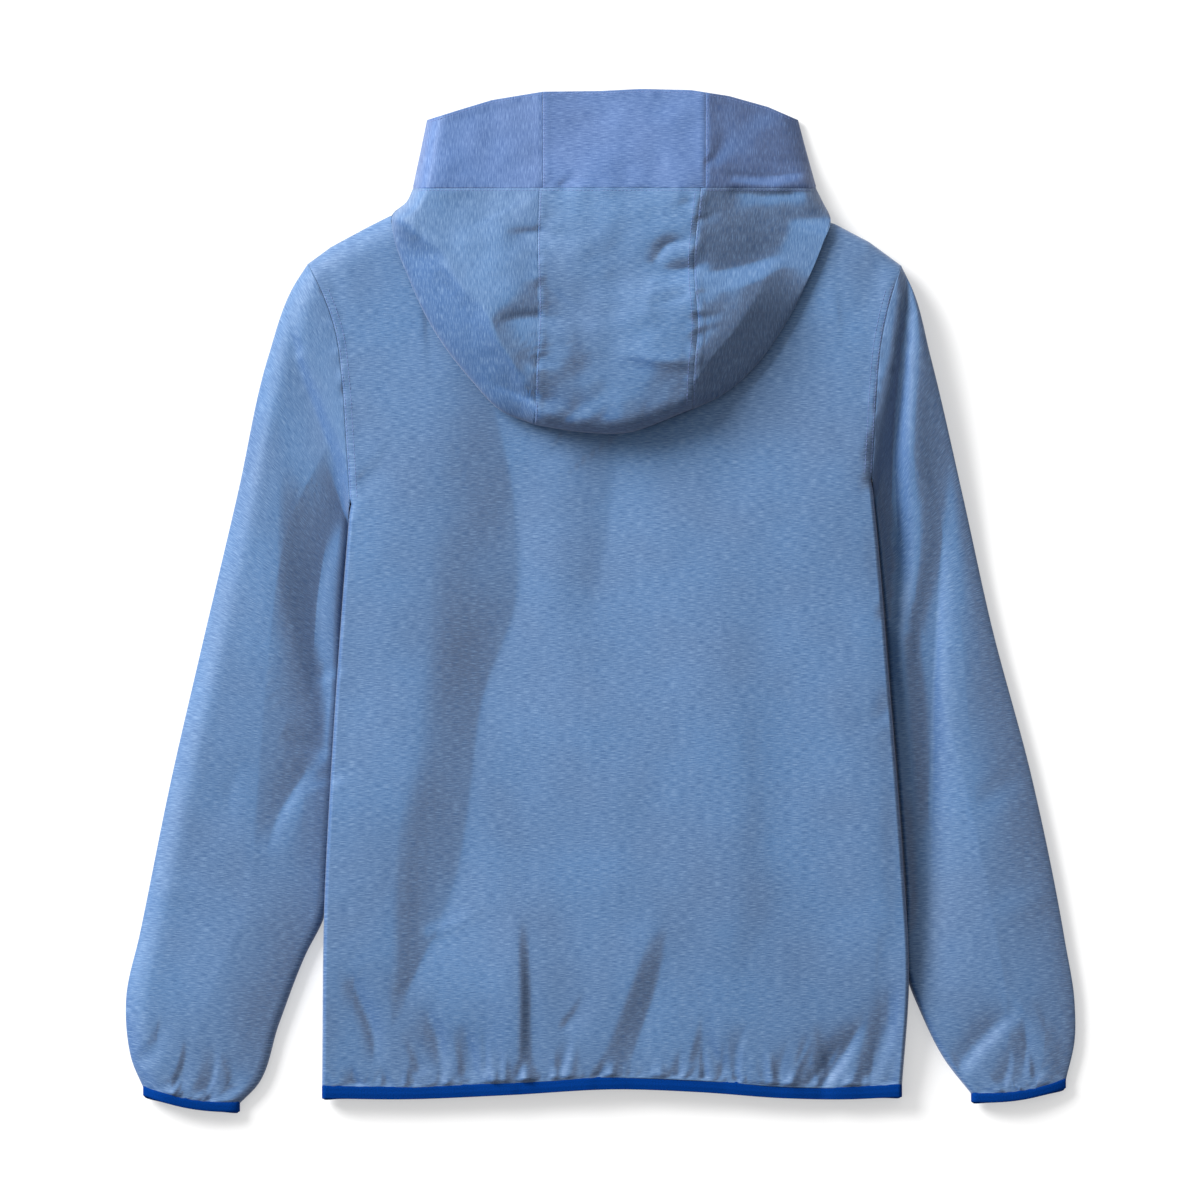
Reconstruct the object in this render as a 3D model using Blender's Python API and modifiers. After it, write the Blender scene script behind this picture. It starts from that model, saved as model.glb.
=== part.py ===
"""A child's hooded anorak pullover, laid flat on its front with its back up.

All sizes are millimetres until a mesh is made. X runs across the garment, Y from hem to hood,
Z up from the surface that it lies on. Each sewn piece is a loft of rows, read from short tables of
its edges and heights, with Solidify for the thickness of the cloth.
"""

import bpy
import numpy as np

MM = 0.001
CLOTH = 1.2  # wall of each panel
BINDING = 1.8  # wall of the elastic tape at hem and cuffs
GAP = 0.3  # between two sewn pieces
ARM_GAP = 0.7  # between a sleeve and the body at the shoulder point
LIFT = 0.45  # half the gap where back and front meet at a side seam

ROLL_TOP = 34.0  # width over which a rolled edge climbs to full height
ROLL_UNDER = 20.0  # width over which the underside leaves the floor
EDGE_SHARE = 0.45  # height of a rolled edge's widest point, as a share of the full height
EDGE_STEPS = np.array([0.0, 0.2, 1.2, 4.5, 10.5, 19.0])  # rows near a rolled edge
BODY_COLUMNS = 12
SIDE_ROWS = 11
ARMHOLE_ROWS = 5
BINDING_COLUMNS = 22
SLEEVE_COLUMNS = 5
SLEEVE_ROWS = 17
HOOD_ROWS = 15  # from the band's seam down to the crown
HOOD_COLUMNS = 8  # over a hood side, from its seam to the rolled edge
UNDER_COLUMNS = 6  # and on below the edge
STRIP_COLUMNS = 9
STRIP_ROWS = 11
BAND_ROWS = 7
BAND_COLUMNS = 6

NECK_HALF = 93.0  # half the width of the neck opening
NECK_Y = 249.2  # height of the neck points up the garment
BACK_DIP = 10.0  # how far the back neckline dips
FRONT_DIP = 57.0  # how far the front neckline dips

HOOD_EDGE = 8.0  # rolled edge of the hood above what it lies on
HOOD_CLEAR = 1.3  # from the back's outer face up to the hood's underside
CLIMB_FROM = -16.0  # where the hood's underside starts to climb over a shoulder
CLIMB_TO = 10.0
BESIDE_NECK = 12.0  # width over which the band's underside drops from the shoulder to the floor

BINDING_WIDTH = 7.0
CUFF_BINDING_WIDTH = 5.0
BINDING_PROUD = 0.4
HEM_FADE = 120.0  # the hem's own curve is felt this far up the body


def table(columns, *rows):
    """A short table, as one array for each named column."""
    return dict(zip(columns.split(), np.array(rows, float).T))


# Edges of the body seen from above, hem to shoulder
SIDE_LEFT = table(
    "x y",
    (-172.4, -302.0),
    (-171.0, -190.0),
    (-165.5, -85.0),
    (-158.7, 12.4),
    (-155.0, 58.9),
)
SIDE_RIGHT = table(
    "x y",
    (187.3, -301.0),
    (191.6, -237.0),
    (187.9, -161.0),
    (182.9, -93.0),
    (178.6, -40.0),
    (174.8, 8.0),
    (170.5, 55.8),
    (168.6, 74.4),
)
ARMHOLE_LEFT = table(
    "x y",
    (-155.0, 58.9),
    (-157.5, 99.0),
    (-160.0, 136.0),
    (-164.3, 167.4),
    (-172.0, 190.0),
    (-181.0, 208.5),
)
ARMHOLE_RIGHT = table(
    "x y",
    (168.6, 74.4),
    (170.3, 105.0),
    (171.7, 130.0),
    (174.2, 158.0),
    (179.2, 183.0),
    (186.5, 207.5),
)
SHOULDERS = table(
    "x y",
    (-181.0, 208.5),
    (-166.8, 218.9),
    (-143.8, 231.3),
    (-130.2, 238.1),
    (-NECK_HALF, NECK_Y),
    (NECK_HALF, NECK_Y),
    (145.7, 233.1),
    (166.8, 222.0),
    (186.5, 207.5),
)
HEM = table(
    "x y",
    (-172.4, -302.0),
    (-123.0, -302.6),
    (-57.0, -300.0),
    (12.0, -296.4),
    (62.0, -298.2),
    (116.0, -302.0),
    (153.0, -302.6),
    (187.3, -301.0),
)
BODY_HEIGHT = table(
    "y height",
    (-303.0, 13.0),
    (-285.0, 15.0),
    (-240.0, 20.0),
    (-150.0, 24.0),
    (0.0, 25.0),
    (120.0, 24.0),
    (200.0, 21.0),
    (250.0, 19.0),
)

# Sleeves, shoulder to cuff. lift is the height of the inner edge, low where it goes under the body
OUTER_LEFT = table(
    "x y",
    (-181.0, 208.5),
    (-190.3, 194.0),
    (-205.8, 150.7),
    (-224.4, 67.0),
    (-247.4, -31.0),
    (-265.4, -109.1),
    (-285.2, -206.5),
    (-293.9, -248.0),
    (-293.3, -269.0),
    (-290.2, -285.8),
    (-283.3, -302.0),
)
INNER_LEFT = table(
    "x y lift",
    (-155.4, 58.9, 10.8),
    (-157.2, 38.0, 8.5),
    (-159.0, 15.0, 3.5),
    (-159.4, -12.0, 2.3),
    (-160.0, -40.0, 2.3),
    (-162.2, -81.0, 2.3),
    (-167.3, -160.0, 2.3),
    (-171.0, -196.5, 3.0),
    (-182.3, -219.5, 5.0),
    (-199.0, -262.9, 5.0),
    (-212.7, -301.3, 5.0),
    (-223.2, -312.0, 5.0),
)
OUTER_RIGHT = table(
    "x y",
    (186.5, 207.5),
    (194.0, 192.0),
    (204.9, 151.3),
    (225.4, 62.6),
    (243.0, -16.7),
    (267.5, -109.1),
    (288.3, -211.4),
    (294.3, -250.0),
    (294.3, -273.0),
    (288.9, -297.4),
)
INNER_RIGHT = table(
    "x y lift",
    (169.0, 74.4, 10.8),
    (172.6, 50.0, 8.5),
    (175.6, 15.0, 3.5),
    (177.2, -15.0, 2.3),
    (180.0, -65.0, 2.3),
    (182.3, -100.0, 2.3),
    (187.6, -180.0, 2.3),
    (191.2, -237.0, 3.0),
    (198.4, -254.8, 5.0),
    (213.0, -284.0, 5.0),
    (230.0, -306.0, 5.0),
)
SLEEVE_HEIGHT = table(
    "along height",
    (0.0, 23.0),
    (0.25, 21.0),
    (0.6, 20.0),
    (0.9, 17.0),
    (1.0, 12.5),
)
CUFF_BOW = 3.6  # how far the middle of a cuff hangs below its corners
CUFF_FROM = 0.85  # share of the sleeve's length where the cuff's bow starts
INNER_LAG = 1.6  # the inner edge is shorter, so its share of each row lags by this power
ARM_BOW_FADE = 0.3  # share of the length over which the rows stop following the armhole
ARM_HEIGHT_FADE = 0.25  # and the sleeve leaves the body's height for its own
ARM_GAP_FADE = 0.05
TUCK_FADE = 0.04  # and its inner edge drops under the body's side
TUCK_POWER = 0.25  # a low inner edge rises less steeply than a full one

# Hood, seen from above: the rolled edge from the band's seam round to the crown
FOLD_LEFT = table(
    "x y",
    (-115.9, 255.2),
    (-119.5, 247.5),
    (-129.0, 238.5),
    (-128.0, 225.7),
    (-119.0, 200.3),
    (-103.5, 168.0),
    (-80.0, 136.4),
    (-60.8, 117.0),
    (-40.5, 108.6),
)
FOLD_CROWN = table(
    "x y",
    (-40.5, 108.6),
    (-13.0, 104.2),
    (15.5, 103.5),
    (57.0, 118.0),
)
FOLD_RIGHT = table(
    "x y",
    (133.9, 255.2),
    (138.0, 247.0),
    (143.0, 236.0),
    (138.3, 221.3),
    (130.8, 202.7),
    (114.1, 169.9),
    (91.1, 139.5),
    (75.0, 126.6),
    (57.0, 118.0),
)
SEAM_LEFT = table(
    "y x", (100.0, -40.5), (146.0, -39.3), (176.0, -37.8), (225.0, -38.6), (256.0, -37.5)
)
SEAM_RIGHT = table(
    "y x", (100.0, 56.6), (146.0, 58.5), (168.0, 60.6), (206.0, 58.3), (256.0, 62.6)
)
BAND_SEAM_Y = 255.6
BAND_SIDE_LEFT = table("x y", (-115.9, 255.6), (-111.5, 277.0), (-107.3, 297.6))
BAND_SIDE_RIGHT = table("x y", (133.9, 255.6), (129.5, 272.0), (122.8, 297.6))
BRIM = table(
    "x y",
    (-107.3, 297.6),
    (-85.6, 304.4),
    (-67.0, 310.0),
    (-35.3, 315.2),
    (0.0, 315.6),
    (25.0, 316.9),
    (56.4, 316.2),
    (80.0, 312.5),
    (104.2, 305.7),
    (122.8, 297.6),
)
BRIM_SEAM_LEFT = -35.5  # the band's own two seams, across the garment
BRIM_SEAM_RIGHT = 65.5
BRIM_UNDER_DIP = 13.0  # the hidden lower rim lies this far inside the upper one
BRIM_DIP_FADE = 60.0  # and comes out to it over this width
BAND_STEP = 1.5  # the band's lower half starts this far above its seam beside the neck
HOOD_HEIGHT = table(
    "y height",
    (100.0, 47.0),
    (125.0, 50.5),
    (165.0, 54.0),
    (205.0, 52.0),
    (256.0, 43.0),
    (290.0, 33.0),
    (317.0, 25.0),
)
CROWN_INSIDE = 10.0  # where the side seams of the hood end, in from the rolled edge
NECK_SEAM_X = np.array([NECK_HALF + 4, NECK_HALF + 1, 75.0, 60.0])  # rows that end on the neck
NECK_SIDE_DROP = 4.5  # a hood side's first row ends this far below the band's seam

# Folds that show from a step away: soft troughs below zero, ridges above
BODY_FOLDS = table(
    "x0 y0 x1 y1 half_width depth",
    (-80.0, 92.0, -94.0, -62.0, 22.0, -4.5),
    (-94.0, -62.0, -123.0, -242.0, 15.0, -4.0),
    (-42.0, 60.0, -34.0, -60.0, 22.0, 2.0),
    (165.0, 30.0, 168.0, -200.0, 14.0, 2.0),
    (-123.0, -244.0, -96.0, -195.0, 6.0, -3.0),
    (-45.5, -220.0, -45.5, -272.0, 5.0, -3.0),
    (-155.0, -238.0, -140.0, -277.0, 5.0, -2.5),
    (28.0, -222.0, 22.0, -262.0, 6.0, -2.5),
    (172.0, -260.0, 170.0, -298.0, 5.0, -2.5),
    (-190.0, 64.0, -197.0, -6.0, 8.0, -4.0),
    (-188.0, 160.0, -214.0, 30.0, 9.0, 2.0),
    (-210.0, -60.0, -172.0, -96.0, 8.0, -3.5),
    (-214.0, -95.0, -178.0, -120.0, 8.0, 2.5),
    (190.0, 204.0, 187.0, 140.0, 5.0, -9.0),
    (184.5, 140.0, 178.5, 62.0, 6.5, -10.0),
    (197.0, 124.0, 200.0, -14.0, 7.0, 3.5),
    (206.0, 92.0, 213.0, -52.0, 7.0, -4.5),
    (222.0, 20.0, 250.0, -140.0, 12.0, 2.0),
    (220.0, -292.0, 256.0, -255.0, 6.0, -3.0),
)
HOOD_FOLDS = table(
    "x0 y0 x1 y1 half_width depth",
    (-128.0, 218.0, -45.0, 124.0, 13.0, -3.5),
    (66.0, 206.0, 117.0, 222.0, 7.0, -3.5),
    (68.0, 195.0, 116.0, 214.0, 6.0, 2.5),
    (82.0, 262.0, 126.0, 250.0, 5.0, -2.5),
    (21.0, 148.0, 48.0, 141.0, 6.0, -2.0),
    (32.0, 222.0, 45.0, 206.0, 5.0, -1.8),
    (-64.0, 173.0, -40.0, 173.0, 4.5, -1.8),
    (-62.0, 150.0, -30.0, 160.0, 5.0, -2.0),
)
HEM_GATHER = {"pitch": 10.6, "deep": 1.3, "reach": 11.0}
CUFF_GATHER = {"pitch": 8.0, "deep": 1.1, "reach": 10.0}
GATHER_ROWS = np.array([13.0, 8.0, 4.0, 0.0])  # distances above the binding
ABOVE_GATHER = 26.0  # first row of the smooth cloth
GATHER_COLUMN = 2.4  # width of one column where the cloth is gathered


# Curves and distances


def cubic(keys, values, at):
    """Values of a smooth cubic through (keys, values), at the places asked for."""
    slopes = np.gradient(values, keys, axis=0)
    i = np.clip(np.searchsorted(keys, at, side="right") - 1, 0, len(keys) - 2)
    span = (keys[i + 1] - keys[i])[:, None]
    t = np.clip((at - keys[i])[:, None] / span, 0, 1)
    start = (1 + 2 * t) * (1 - t) ** 2 * values[i] + t * (1 - t) ** 2 * span * slopes[i]
    end = t * t * (3 - 2 * t) * values[i + 1] + t * t * (t - 1) * span * slopes[i + 1]
    return start + end


def read(rows, name, at):
    """Column `name` at a value of the table's first column."""
    keys = next(iter(rows.values()))
    flat = np.ravel(np.asarray(at, float))
    return cubic(keys, rows[name][:, None], flat)[:, 0].reshape(np.shape(at))


def path(rows, at):
    """The table's columns at these fractions of the way along its smooth curve in x and y."""
    values = np.stack(list(rows.values()), axis=1)
    run = np.append(0, np.cumsum(np.hypot(*np.diff(values[:, :2], axis=0).T)))
    return cubic(run, values, np.asarray(at, float) * run[-1])


def length(rows):
    return np.hypot(np.diff(rows["x"]), np.diff(rows["y"])).sum()


def polyline(rows):
    return path(rows, np.linspace(0, 1, 120))[:, :2]


def away(points, line):
    """Distance in plan from each point to a line of points."""
    p = points[..., None, :2]
    a, b = line[:-1], line[1:]
    along = np.clip(((p - a) * (b - a)).sum(-1) / ((b - a) ** 2).sum(-1), 0, 1)
    return np.sqrt((((a + along[..., None] * (b - a)) - p) ** 2).sum(-1).min(-1))


def step(t):
    """Smooth 0 to 1."""
    t = np.clip(t, 0, 1)
    return t * t * (3 - 2 * t)


def roll(distance, width, power=0.5):
    """Quarter-ellipse rise from 0 at a rolled edge to 1 at this width."""
    t = np.clip((distance - 0.02) / width, 0, 1)
    return (1 - (1 - t) ** 2) ** power


def spread(width, count, steps=EDGE_STEPS):
    """Fractions across a width: close together at both rolled edges, even between them."""
    inner = np.linspace(steps[-1], width - steps[-1], count)[1:-1]
    return np.concatenate([steps, inner, width - steps[::-1]]) / width


def folds(p, rows):
    """Sum of the table's folds: a bell across each line, which fades past its two ends."""
    total = np.zeros(p.shape[:-1])
    for x0, y0, x1, y1, half_width, depth in zip(*rows.values()):
        a, run = np.array([x0, y0]), np.array([x1 - x0, y1 - y0])
        t = ((p[..., :2] - a) * run).sum(-1) / (run @ run)
        off = np.hypot(*np.moveaxis(p[..., :2] - a - np.clip(t, 0, 1)[..., None] * run, -1, 0))
        total += depth * np.exp(-((off / half_width) ** 2))
    return total


def gather(across, above, pitch, deep, reach):
    """Uneven ripples of a gathered edge, which die away above it."""
    uneven = 0.7 + 0.3 * np.sin(across / pitch * 1.7 + 1)
    phase = 2 * np.pi * across / pitch + 1.1 * np.sin(across / pitch * 0.9)
    return deep * uneven * np.sin(phase) * np.exp(-((above / reach) ** 2))


# Heights of the surfaces


def shoulder_y(x, dip):
    """The top edge of the body: shoulder, neckline and shoulder."""
    line = np.interp(x, SHOULDERS["x"], SHOULDERS["y"])
    inside = np.clip(1 - np.abs(x / NECK_HALF) ** 2.2, 0, 1)
    return line - dip * inside


SHOULDER_LINES = [
    np.stack([SHOULDERS["x"][:5], SHOULDERS["y"][:5]], 1),
    np.stack([SHOULDERS["x"][5:], SHOULDERS["y"][5:]], 1),
]
BODY_LINES = [polyline(SIDE_LEFT), polyline(SIDE_RIGHT), *SHOULDER_LINES]


def body_height(p):
    return read(BODY_HEIGHT, "height", p[..., 1])


def body_roll(p, width):
    return np.prod([roll(away(p, line), width) for line in BODY_LINES], axis=0)


def back_z(p):
    full = body_height(p)
    edge = EDGE_SHARE * full + LIFT
    rise = body_roll(p, ROLL_TOP)
    return edge + (full - edge + folds(p, BODY_FOLDS)) * rise


def front_z(p):
    edge = EDGE_SHARE * body_height(p) - LIFT
    return edge * (1 - body_roll(p, ROLL_UNDER))


def past_shoulder(p):
    """Distance below the shoulder line, less than zero above it."""
    nearest = np.min([away(p, line) for line in SHOULDER_LINES], axis=0)
    outside = (np.abs(p[..., 0]) > NECK_HALF) & (p[..., 1] > shoulder_y(p[..., 0], 0))
    return np.where(outside, -nearest, nearest)


def under_hood(p):
    """What the hood lies on: the back, then a slope over the shoulder down to the floor."""
    climb = step((past_shoulder(p) - CLIMB_FROM) / (CLIMB_TO - CLIMB_FROM))
    return (body_height(p) + HOOD_CLEAR) * climb


HOOD_LINE = np.concatenate(
    [
        polyline(BAND_SIDE_LEFT)[::-1],
        polyline(FOLD_LEFT),
        polyline(FOLD_CROWN),
        polyline(FOLD_RIGHT)[::-1],
        polyline(BAND_SIDE_RIGHT),
    ]
)
HOOD_LINE = HOOD_LINE[np.append(True, np.hypot(*np.diff(HOOD_LINE, axis=0).T) > 0.01)]


def hood_top_z(p):
    edge = under_hood(p) + HOOD_EDGE
    full = read(HOOD_HEIGHT, "height", p[..., 1]) + folds(p, HOOD_FOLDS)
    return edge + (full - edge) * roll(away(p, HOOD_LINE), ROLL_TOP)


def hood_under_z(p):
    return under_hood(p) + HOOD_EDGE * (1 - roll(away(p, HOOD_LINE), ROLL_UNDER))


def band_under_z(p):
    """The band's lower half: on the floor inside the neck, and over it beside the neck."""
    beside = step((np.abs(p[..., 0]) - NECK_HALF) / BESIDE_NECK)
    edge = HOOD_EDGE * (1 - roll(away(p, HOOD_LINE), ROLL_UNDER))
    return under_hood(p) * beside + edge


# Meshes


def with_z(plan, height):
    return np.concatenate([plan, height[..., None]], axis=-1)


def between(a, b, t):
    return a[..., None, :] + t[..., None] * (b - a)[..., None, :]


def zip_faces(first, low, second, high, closed):
    """Triangles between two rows of points at the fractions `low` and `high` along them."""
    if closed:
        first, low = np.append(first, first[0]), np.append(low, 1)
        second, high = np.append(second, second[0]), np.append(high, 1)
    faces, i, j = [], 0, 0
    while i < len(first) - 1 or j < len(second) - 1:
        on_first = j == len(second) - 1 or (i < len(first) - 1 and low[i + 1] <= high[j + 1])
        if on_first:
            faces.append((first[i], first[i + 1], second[j]))
            i += 1
        else:
            faces.append((first[i], second[j + 1], second[j]))
            j += 1
    return faces


def fractions(row, closed):
    run = np.append(0, np.cumsum(np.hypot(*np.diff(row[:, :2], axis=0).T)))
    whole = run[-1] + (np.hypot(*(row[0] - row[-1])[:2]) if closed else 0)
    return run / whole


def loft(name, rows, collection, colour, wall=CLOTH, closed=False, flip=False):
    """A wall through rows of points: quads between equal rows, a zip of triangles elsewhere."""
    starts = np.append(0, np.cumsum([len(row) for row in rows]))
    faces = []
    for k in range(len(rows) - 1):
        first = np.arange(starts[k], starts[k + 1])
        second = np.arange(starts[k + 1], starts[k + 2])
        if len(first) != len(second):
            low, high = fractions(rows[k], closed), fractions(rows[k + 1], closed)
            faces += zip_faces(first, low, second, high, closed)
            continue
        last = len(first) if closed else len(first) - 1
        for i in range(last):
            j = (i + 1) % len(first)
            faces.append((first[i], first[j], second[j], second[i]))
    faces = [[int(v) for v in (face[::-1] if flip else face)] for face in faces]
    mesh = bpy.data.meshes.new(name)
    mesh.from_pydata((np.concatenate(rows) * MM).tolist(), [], faces)
    mesh.shade_smooth()
    mesh.materials.append(cloth_material(*colour))
    piece = bpy.data.objects.new(name, mesh)
    solidify = piece.modifiers.new("wall", "SOLIDIFY")
    solidify.thickness = wall * MM
    solidify.offset = -1
    collection.objects.link(piece)
    return piece


def cloth_material(name, colour, roughness):
    found = bpy.data.materials.get(name)
    if found:
        return found
    material = bpy.data.materials.new(name)
    material.use_nodes = True
    shader = material.node_tree.nodes["Principled BSDF"]
    shader.inputs["Base Color"].default_value = (*colour, 1)
    shader.inputs["Roughness"].default_value = roughness
    shader.inputs["Metallic"].default_value = 0
    return material


SHELL_CLOTH = ("blue shell cloth", (0.15, 0.28, 0.52), 0.6)
TAPE_CLOTH = ("royal blue binding", (0.01, 0.07, 0.3), 0.7)


# Body


def body_stations():
    """Places of the rows up each side edge and armhole, as (on_armhole, fraction) for each side."""
    rows = []
    for side, arm in ((SIDE_LEFT, ARMHOLE_LEFT), (SIDE_RIGHT, ARMHOLE_RIGHT)):
        above_hem = np.append(GATHER_ROWS[::-1], ABOVE_GATHER)
        even = np.linspace(above_hem[-1], length(side), SIDE_ROWS)[1:]
        up_side = path(side, np.append(above_hem, even) / length(side))
        up_arm = path(arm, spread(length(arm), ARMHOLE_ROWS)[1:])
        rows.append(np.concatenate([up_side, up_arm]))
    on_arm = len(up_arm)
    return rows[0], rows[1], on_arm


def body_rows(dip, height, gathered):
    """Rows of a body panel from hem to shoulder, with the neckline dipping by `dip`."""
    left, right, on_arm = body_stations()
    rows = []
    for k, (a, b) in enumerate(zip(left, right)):
        fine = gathered and k < len(GATHER_ROWS) - 1
        count = int((b - a)[0] / GATHER_COLUMN) if fine else BODY_COLUMNS
        t = spread(np.hypot(*(b - a)), count)
        plan = between(a, b, t)
        above_hem = a[1] - left[0][1]
        up_arm = (a[1] - left[-on_arm - 1][1]) / (left[-1] - left[-on_arm - 1])[1]
        shoulder = between(left[-1], right[-1], t)
        hem = between(left[0], right[0], t)
        plan[:, 1] += step(up_arm) * (shoulder_y(shoulder[:, 0], dip) - shoulder[:, 1])
        plan[:, 1] += (1 - step(above_hem / HEM_FADE)) * (read(HEM, "y", hem[:, 0]) - hem[:, 1])
        row = with_z(plan, height(plan))
        if fine:
            edges = body_roll(plan, ROLL_TOP)
            row[:, 2] += gather(plan[:, 0], above_hem, **HEM_GATHER) * edges
        rows.append(row)
    return rows


def make_body(collection):
    back = body_rows(BACK_DIP, back_z, gathered=True)
    front = body_rows(FRONT_DIP, front_z, gathered=False)
    loft("back", back, collection, SHELL_CLOTH)
    loft("front", front, collection, SHELL_CLOTH, flip=True)
    return front[-1]


def tape_rows(end, width, middle_out):
    """Three rows of a binding that carries on past the last row of a panel or tube."""
    down = np.array([0, -1, 0])
    rows = []
    for share in (0.0, 0.5, 1.0):
        row = end + down * (GAP + share * width)
        row[:, 2] += np.where(end[:, 2] > 0.01, middle_out * (1 + 0.5 * np.sin(np.pi * share)), 0)
        rows.append(row)
    return rows


def make_hem_binding(collection):
    left, right, _ = body_stations()
    t = spread(np.hypot(*(right[0] - left[0])), BINDING_COLUMNS)
    plan = between(left[0], right[0], t)
    plan[:, 1] = read(HEM, "y", plan[:, 0])
    above = with_z(plan, back_z(plan) - LIFT)
    below = with_z(plan, front_z(plan))[::-1]
    ring = np.concatenate([above, below[1:-1]])
    rows = tape_rows(ring, BINDING_WIDTH, BINDING_PROUD)
    loft("hem_binding", rows, collection, TAPE_CLOTH, BINDING, closed=True, flip=True)


# Sleeves


def sleeve_ring(side, s, fine):
    """One closed ring of a sleeve, `s` from 0 at the armhole to 1 at the cuff."""
    arm, inner_line, outer_line, out = side
    near_arm = 1 - step(s / ARM_GAP_FADE)
    inner = path(inner_line, [s**INNER_LAG])[0]
    outer = path(outer_line, [s])[0] + np.array([out * ARM_GAP * near_arm, 0])
    width = np.hypot(*(outer - inner[:2]))
    t = spread(width, int(width / GATHER_COLUMN) if fine else SLEEVE_COLUMNS)
    plan = between(inner[:2], outer, t)
    seam = path(arm, t)
    bow = seam - between(seam[0], seam[-1], t)
    plan += bow * (1 - step(s / ARM_BOW_FADE))
    plan[:, 0] += out * GAP * near_arm
    plan[:, 1] -= CUFF_BOW * 4 * t * (1 - t) * step((s - CUFF_FROM) / (1 - CUFF_FROM))
    own = step(s / ARM_HEIGHT_FADE)
    full = body_height(plan) * (1 - own) + read(SLEEVE_HEIGHT, "height", s) * own
    full_edge = EDGE_SHARE * full
    lift = inner[2] + (full_edge - inner[2]) * (1 - step(s / TUCK_FADE))
    edge = lift + (full_edge - lift) * step(t)
    power = 0.5 + TUCK_POWER * np.clip(1 - lift / full_edge, 0, 1)
    reach_in, reach_out = t * width, (1 - t) * width
    rise = roll(reach_in, ROLL_TOP, power) * roll(reach_out, ROLL_TOP)
    above = edge + (full - edge + folds(plan, BODY_FOLDS)) * rise
    to_cuff = (1 - s) * length(outer_line)
    if fine:
        above += gather(reach_in, to_cuff, **CUFF_GATHER) * rise
    narrow = ROLL_UNDER * np.where(t < 0.5, np.clip(lift / full_edge, 0.3, 1), 1)
    below = edge * (1 - roll(reach_in, narrow) * roll(reach_out, narrow))
    return np.concatenate([with_z(plan, above), with_z(plan, below)[::-1][1:-1]])


def sleeve_rows(side):
    run = length(side[2])
    coarse = np.linspace(0, 1 - ABOVE_GATHER / run, SLEEVE_ROWS)
    coarse = np.insert(coarse, 1, coarse[1] / 2)
    rows = [sleeve_ring(side, s, fine=False) for s in coarse]
    rows += [sleeve_ring(side, 1 - d / run, fine=d < GATHER_ROWS[0]) for d in GATHER_ROWS]
    return rows


def make_sleeve(name, side, flip, collection):
    rows = sleeve_rows(side)
    loft(f"sleeve_{name}", rows, collection, SHELL_CLOTH, closed=True, flip=flip)
    end = sleeve_ring(side, 1.0, fine=False)
    tape = tape_rows(end, CUFF_BINDING_WIDTH, BINDING_PROUD)
    loft(f"cuff_binding_{name}", tape, collection, TAPE_CLOTH, BINDING, closed=True, flip=flip)


# Hood


def side_panel_rows(fold, seam, neck_sign):
    """A hood side: from the seam with the centre strip, round the rolled edge, to the neck."""
    across = np.linspace(0, 1, HOOD_ROWS)
    edge = path(fold, across)
    gap = neck_sign * GAP / 2
    edge[-1, 0] = read(seam, "x", edge[-1, 1]) + gap
    crown = edge[-1] + np.array([0, CROWN_INSIDE])
    top_y = BAND_SEAM_Y - GAP + across * (crown[1] - BAND_SEAM_Y + GAP)
    top = np.stack([read(seam, "x", top_y) + gap, top_y], 1)
    neck_x = neck_sign * NECK_SEAM_X
    neck = [(x, shoulder_y(x, BACK_DIP)) for x in neck_x]
    neck[0] = (neck_x[0], BAND_SEAM_Y - NECK_SIDE_DROP)
    seam_top = shoulder_y(read(seam, "x", NECK_Y - BACK_DIP), BACK_DIP)
    low_y = np.linspace(float(seam_top), crown[1], HOOD_ROWS - len(neck))
    low = np.stack([read(seam, "x", low_y) + gap, low_y], 1)
    bottom = np.concatenate([neck, low])
    rows = []
    for t, e, b in zip(top, edge, bottom):
        reach, under = np.hypot(*(e - t)), np.hypot(*(e - b))
        steps = EDGE_STEPS[EDGE_STEPS < CROWN_INSIDE]
        evenly = np.linspace(0, 1, HOOD_COLUMNS)[:-1]
        above = np.append(evenly * (reach - steps[-1]), reach - steps[::-1])
        evenly = np.linspace(0, 1, UNDER_COLUMNS)[1:]
        below = np.append(steps[1:], steps[-1] + evenly * (under - steps[-1]))
        over = between(t, e, above / reach)
        back = between(e, b, below / under)
        over = with_z(over, hood_top_z(over))
        rows.append(np.concatenate([over, with_z(back, hood_under_z(back))]))
    return rows


def centre_strip_rows():
    """The strip between the hood's two seams, over the rolled crown and back to the neck."""
    columns = np.linspace(0, 1, STRIP_COLUMNS)
    crown_x = SEAM_LEFT["x"][0] + columns * (SEAM_RIGHT["x"][0] - SEAM_LEFT["x"][0])
    crown = np.stack([crown_x, np.interp(crown_x, *polyline(FOLD_CROWN).T)], 1)
    steps = EDGE_STEPS
    rows = []
    far = np.concatenate([np.linspace(1, 0, STRIP_ROWS)[:-1], np.zeros(len(steps))])
    near = np.concatenate([np.full(STRIP_ROWS - 1, steps[-1]), steps[::-1]])
    for share, offset in zip(far, near):
        y = crown[:, 1] + offset + share * (BAND_SEAM_Y - GAP - crown[:, 1] - steps[-1])
        rows.append((y, hood_top_z))
    for offset in steps[1:]:
        rows.append((crown[:, 1] + offset, hood_under_z))
    for share in np.linspace(0, 1, UNDER_COLUMNS + 1)[1:]:
        neck = shoulder_y(crown[:, 0], BACK_DIP)
        start = crown[:, 1] + steps[-1]
        rows.append((start + share * (neck - start), hood_under_z))
    made = []
    for y, height in rows:
        left = read(SEAM_LEFT, "x", y) + GAP / 2
        right = read(SEAM_RIGHT, "x", y) - GAP / 2
        plan = np.stack([left + columns * (right - left), y], 1)
        made.append(with_z(plan, height(plan)))
    return made


def brim_y(x):
    return np.interp(x, BRIM["x"], BRIM["y"])


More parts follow.
